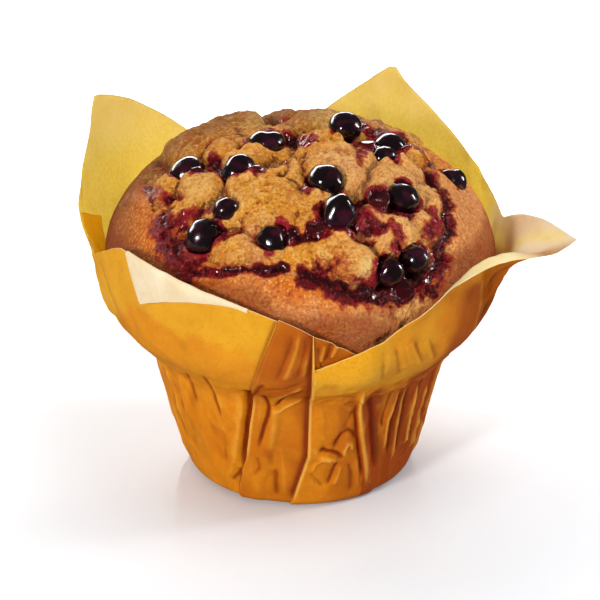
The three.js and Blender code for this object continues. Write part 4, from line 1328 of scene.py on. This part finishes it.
def bakedColour(tree, fineGrain):
    crag, hollow, pits, flake = painted(tree, "crag", "hollow", "pits", "flake")
    sideTone, paperShade, pale = painted(tree, "sideTone", "paperShade", "pale")
    broadMask, _ = mottled(tree, 60.0, 500.0, 0.3)
    rosyMask, _ = mottled(tree, 95.0, 520.0, 0.4)
    paint = crumbPaint
    # painted shade in the hollows of the skirt and the crust, painted highlight on the crust's raised places
    skirt = coated(
        tree, linear(*paint["skirt"]), (paint["skirtDeep"], broadMask),
        (paint["pit"], stretch(tree, pits, 0.0, 0.5, 0.0, 0.5)),
        (paint["skirtCavityShade"], stretch(tree, hollow, 0.58, 0.95, 0.0, 0.7)))
    crust = coated(
        tree, linear(*paint["crust"]), (paint["crustDeep"], broadMask),
        (paint["crustRidgeHighlight"], stretch(tree, hollow, 0.42, 0.1, 0.0, 0.35)),
        (paint["crustCavityShade"], stretch(tree, hollow, 0.54, 0.86, 0.0, 0.9)))
    raised = combine(tree, stretch(tree, flake, 0.55, 0.95, 0.0, 0.55), crag)
    sunken = combine(tree, stretch(tree, flake, 0.42, 0.08, 0.0, 0.5), crag)
    light = combine(tree, stretch(tree, fineGrain, 0.52, 0.64, 0.0, 0.6),
                    stretch(tree, sideTone, 0.5, 1.0, 1.0, 0.3))
    return coated(
        tree, blendColour(tree, skirt, crust, crag),
        # paler on the right: painted sheen; darker towards the back left
        (paint["paler"], stretch(tree, sideTone, 0.36, 0.06, 0.0, 0.5)),
        (paint["darkerBack"], stretch(tree, sideTone, 0.5, 1.0, 0.0, 0.72)),
        (paint["pale"], pale),
        (paint["rosy"], stretch(tree, rosyMask, 0.6, 1.0, 0.0, 0.4)),
        (paint["raisedFlake"], raised),
        (paint["sunkenFlake"], sunken),
        (paint["lightGrain"], light),
        (paint["darkGrain"], stretch(tree, fineGrain, 0.48, 0.34, 0.0, 0.55)),
        # painted shade on the crust where the paper stands close
        (paint["paperShade"], combine(tree, paperShade, 0.62)))


def crumbMaterial():
    material, tree, surface = newMaterial("baked_crumb")
    juice, wet, pool, hollow = painted(tree, "juice", "wet", "pool", "hollow")
    fineMask, fineGrain = mottled(tree, 330.0, 1500.0, 0.5)
    blotMask, _ = mottled(tree, 230.0, 760.0, 0.5)
    rippleMask, _ = mottled(tree, 620.0, 1500.0, 0.3)
    paint = crumbPaint
    ragged = combine(tree, juice, stretch(tree, blotMask, 0.0, 1.0, -0.3, 0.3), "ADD", clamp=True)
    halo = stretch(tree, ragged, 0.12, 0.42, 0.0, 0.8)
    baked = coated(tree, bakedColour(tree, fineGrain), (paint["halo"], halo))
    # painted shade in the hollows and painted highlight on the raised places of the juice stain
    stain = coated(
        tree, linear(*paint["stain"]), (paint["stainDeep"], blotMask),
        (paint["stainCavityShade"], stretch(tree, hollow, 0.52, 0.86, 0.0, 0.8)),
        (paint["stainRidgeHighlight"], stretch(tree, hollow, 0.45, 0.15, 0.0, 0.5)),
        (paint["stainGrain"], stretch(tree, fineGrain, 0.54, 0.68, 0.0, 0.5)),
        (paint["stainDarkGrain"], stretch(tree, fineGrain, 0.47, 0.34, 0.0, 0.6)))
    colour = blendColour(tree, baked, stain, stretch(tree, ragged, 0.36, 0.66))
    colour = coated(tree, colour, (paint["syrup"], stretch(tree, pool, 0.4, 0.9, 0.0, 0.92)))
    ripples = combine(tree, rippleMask, stretch(tree, wet, 0.1, 0.5, 0.0, 0.55))
    relief = combine(tree, fineGrain, combine(tree, fineMask, 0.4), "ADD")
    relief = combine(tree, combine(tree, relief, ripples, "ADD"), stretch(tree, pool, 0.2, 0.8, 1.0, 0.05))
    rough = combine(tree, stretch(tree, ragged, 0.36, 0.66, 0.8, 0.42),
                    stretch(tree, wet, 0.1, 0.8, 1.0, 0.25))
    shader = addNode(tree, "ShaderNodeBsdfPrincipled", {
        "Base Color": colour, "Roughness": rough, "Specular IOR Level": 0.25,
        "Normal": bumped(tree, relief, paint["bumpStrength"], paint["bumpDistance"]),
        "Coat Weight": stretch(tree, wet, 0.12, 0.7, 0.0, 0.9), "Coat Roughness": 0.08})
    tree.links.new(shader.outputs[0], surface)
    return material


muffin = makeMuffin()
muffin.data.materials.append(crumbMaterial())
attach(muffin, "root")
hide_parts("muffin")
print("muffin:", len(muffin.data.polygons), "faces")


# berries

berrySkin = {
    "smoothness": 4, "seed": 90, "dark": (14, 3, 6), "blush": (50, 6, 24), "bloom": (34, 14, 32),
    "lumps": [(0.055, 0.9, 91), (0.0275, 0.45, 108)], "ripples": [(0.022, 0.42, 97)],  # height, size, seed
    "blushWaves": [(0.9, 0.8, 95), (0.45, 0.4, 112)],
    "dents": 3, "calyx": 0.3, "calyxDepth": 0.1, "peakWay": (0.147638, -0.098425, 0.984252), "most": 1.06,
}


def makeBerry(name, number):
    centre, up, halfWidth, halfHeight = berries[name]
    _, _, peak, dent, squeeze, spin = berryTable[name]
    random = np.random.default_rng(berrySkin["seed"] + number)
    ball = bmesh.new()
    bmesh.ops.create_icosphere(ball, subdivisions=berrySkin["smoothness"], radius=1.0)
    points = np.array([vertex.co[:] for vertex in ball.verts])
    faces = [[vertex.index for vertex in face.verts] for face in ball.faces]
    ball.free()
    points /= np.linalg.norm(points, axis=1, keepdims=True)
    length = 1 + summedNoise(points + number * 7.3, berrySkin["lumps"])
    length += summedNoise(points + number * 5.1, berrySkin["ripples"])
    for k in range(berrySkin["dents"]):  # soft dents where the skin has sunk
        way = random.normal(size=3)
        way[2] = abs(way[2]) * (0.8 if k else 0.3)
        way /= np.linalg.norm(way)
        depth, width = dent * random.uniform(0.5, 1.0), random.uniform(0.08, 0.22)
        length -= depth * np.exp(-((1 - points @ way) / width) ** 1.3)
    length += peak * np.exp(-(1 - points @ np.array(berrySkin["peakWay"])) / 0.1)
    eye = random.normal(size=3) * [1, 1, 0.5]
    ringGap = np.arccos(np.clip(points @ (eye / np.linalg.norm(eye)), -1, 1))
    length += berrySkin["calyxDepth"] * (0.6 * hill(ringGap - berrySkin["calyx"], 0.08) - hill(ringGap, 0.2))
    half = np.array([halfWidth, halfWidth, halfHeight])
    body = points * length[:, None] * half * [1 + squeeze, 1 - squeeze, 1]
    body *= np.minimum(1, half * (berrySkin["most"] + peak) / np.abs(body).max(0))
    upright = Vector((0, 0, 1)).rotation_difference(Vector(up)).to_matrix()
    turn = upright @ Matrix.Rotation(spin * degree, 3, "Z")
    blush = np.clip(0.5 + summedNoise(points + number * 3.1, berrySkin["blushWaves"]), 0, 1)
    return makeMesh(name + "_skin", body @ np.array(turn).T + centre, faces, {"blush": blush})


def berryMaterial():
    material, tree, surface = newMaterial("berry_skin")
    blush, = painted(tree, "blush")
    bloomMask, _ = mottled(tree, 260.0, 1200.0, 0.35)
    colour = coated(
        tree, linear(*berrySkin["dark"]),
        (berrySkin["blush"], stretch(tree, blush, 0.5, 1.0)),
        (berrySkin["bloom"], stretch(tree, bloomMask, 0.5, 1.0, 0.0, 0.45)))
    shader = addNode(tree, "ShaderNodeBsdfPrincipled", {
        "Base Color": colour, "Roughness": stretch(tree, bloomMask, 0.0, 1.0, 0.1, 0.24),
        "Normal": bumped(tree, bloomMask, 0.12, 0.0005), "Specular IOR Level": 0.45,
        "Coat Weight": 0.8, "Coat Roughness": 0.03})
    tree.links.new(shader.outputs[0], surface)
    return material


skin = berryMaterial()
for number, name in enumerate(berryTable):
    berry = makeBerry(name, number)
    berry.data.materials.append(skin)
    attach(berry, "root")
    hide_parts(name)
print("berries:", len(berryTable))


# floor, light and camera

studio = {
    "cameraAt": (0.0, -0.49847, 0.27044), "cameraTilt": 65.0, "lens": 150.0, "sensor": 36.0,
    "floorRadius": 4.0, "floorSteps": 96, "floorBelow": 0.02, "sky": 0.17, "skyInGloss": 0.06,
    "hiddenInGloss": ("softTop", "fillRight"),
}

# each light: place, the point it looks at, width, height, watts, colour
lights = {
    "key": ((-0.39, -0.56, 0.31), (0, 0, 0.05), 0.11, 0.11, 4.0, (1.0, 0.98, 0.95)),
    "panelBack": ((-0.25, 0.66, 0.31), (0, 0, 0.06), 1.10, 0.18, 5.0, (1.0, 0.99, 0.98)),
    "stripRight": ((0.62, 0.10, 0.26), (0, 0, 0.06), 0.07, 0.26, 1.7, (1.0, 0.99, 0.98)),
    "softTop": ((0.30, -0.20, 0.80), (0, 0, 0.06), 0.50, 0.50, 4.15, (1.0, 0.985, 0.96)),
    "fillRight": ((0.52, -0.42, 0.20), (0, 0, 0.05), 0.25, 0.25, 0.7, (0.97, 0.99, 1.0)),
}


def makeFloor():
    steps = studio["floorSteps"]
    ring = turned(studio["floorRadius"] / mm, np.arange(steps) * 360 / steps, 0.0)
    points = np.concatenate([[[0, 0, 0]], ring]) - [0, 0, studio["floorBelow"]]
    floor = makeMesh("floor", points, [(0, 1 + k, 1 + (k + 1) % steps) for k in range(steps)])
    material, tree, surface = newMaterial("white_table")
    place = addNode(tree, "ShaderNodeTexCoord").outputs["Object"]
    far = addNode(tree, "ShaderNodeVectorMath", {0: place}, operation="LENGTH").outputs["Value"]
    grainMask, _ = mottled(tree, 4.0, 60.0, 0.3)
    white = blendColour(tree, (0.66, 0.69, 0.73, 1), (0.68, 0.71, 0.75, 1), grainMask)
    seen = addNode(tree, "ShaderNodeLightPath").outputs["Is Camera Ray"]
    glow = combine(tree, stretch(tree, far, 0.05, 0.24, 0.07, 1.0), seen)
    shader = addNode(tree, "ShaderNodeBsdfPrincipled", {
        "Base Color": white, "Roughness": 0.12, "Specular IOR Level": 0.12, "Emission Color": (1, 1, 1, 1),
        "Emission Strength": glow})
    tree.links.new(shader.outputs[0], surface)
    floor.data.materials.append(material)
    floor.visible_glossy = False


def makeLights():
    for name, (place, aim, width, height, power, colour) in lights.items():
        light = bpy.data.lights.new(name, "AREA")
        light.shape, light.size, light.size_y = "RECTANGLE", width, height
        light.energy, light.color = power, colour
        lamp = bpy.data.objects.new(name, light)
        lamp.location = place
        lamp.rotation_mode = "QUATERNION"
        lamp.rotation_quaternion = (Vector(aim) - Vector(place)).to_track_quat("-Z", "Y")
        lamp.visible_glossy = name not in studio["hiddenInGloss"]
        bpy.context.scene.collection.objects.link(lamp)
    world = bpy.data.worlds.new("studio")
    bpy.context.scene.world = world
    world.use_nodes = True
    tree = world.node_tree
    background = tree.nodes["Background"]
    background.inputs["Color"].default_value = (1, 1, 1, 1)
    glossy = addNode(tree, "ShaderNodeLightPath").outputs["Is Glossy Ray"]
    strength = stretch(tree, glossy, 0.0, 1.0, studio["sky"], studio["skyInGloss"])
    tree.links.new(strength, background.inputs["Strength"])


def makeCamera():
    data = bpy.data.cameras.new("camera")
    data.lens, data.sensor_width = studio["lens"], studio["sensor"]
    data.clip_start, data.clip_end = 0.01, 20
    camera = bpy.data.objects.new("camera", data)
    camera.location = studio["cameraAt"]
    camera.rotation_euler = (studio["cameraTilt"] * degree, 0, 0)
    bpy.context.scene.collection.objects.link(camera)
    bpy.context.scene.camera = camera
    bpy.context.scene.view_settings.view_transform = "Standard"


makeFloor()
makeLights()
makeCamera()
print("floor, lights and camera made")

bpy.context.view_layer.update()
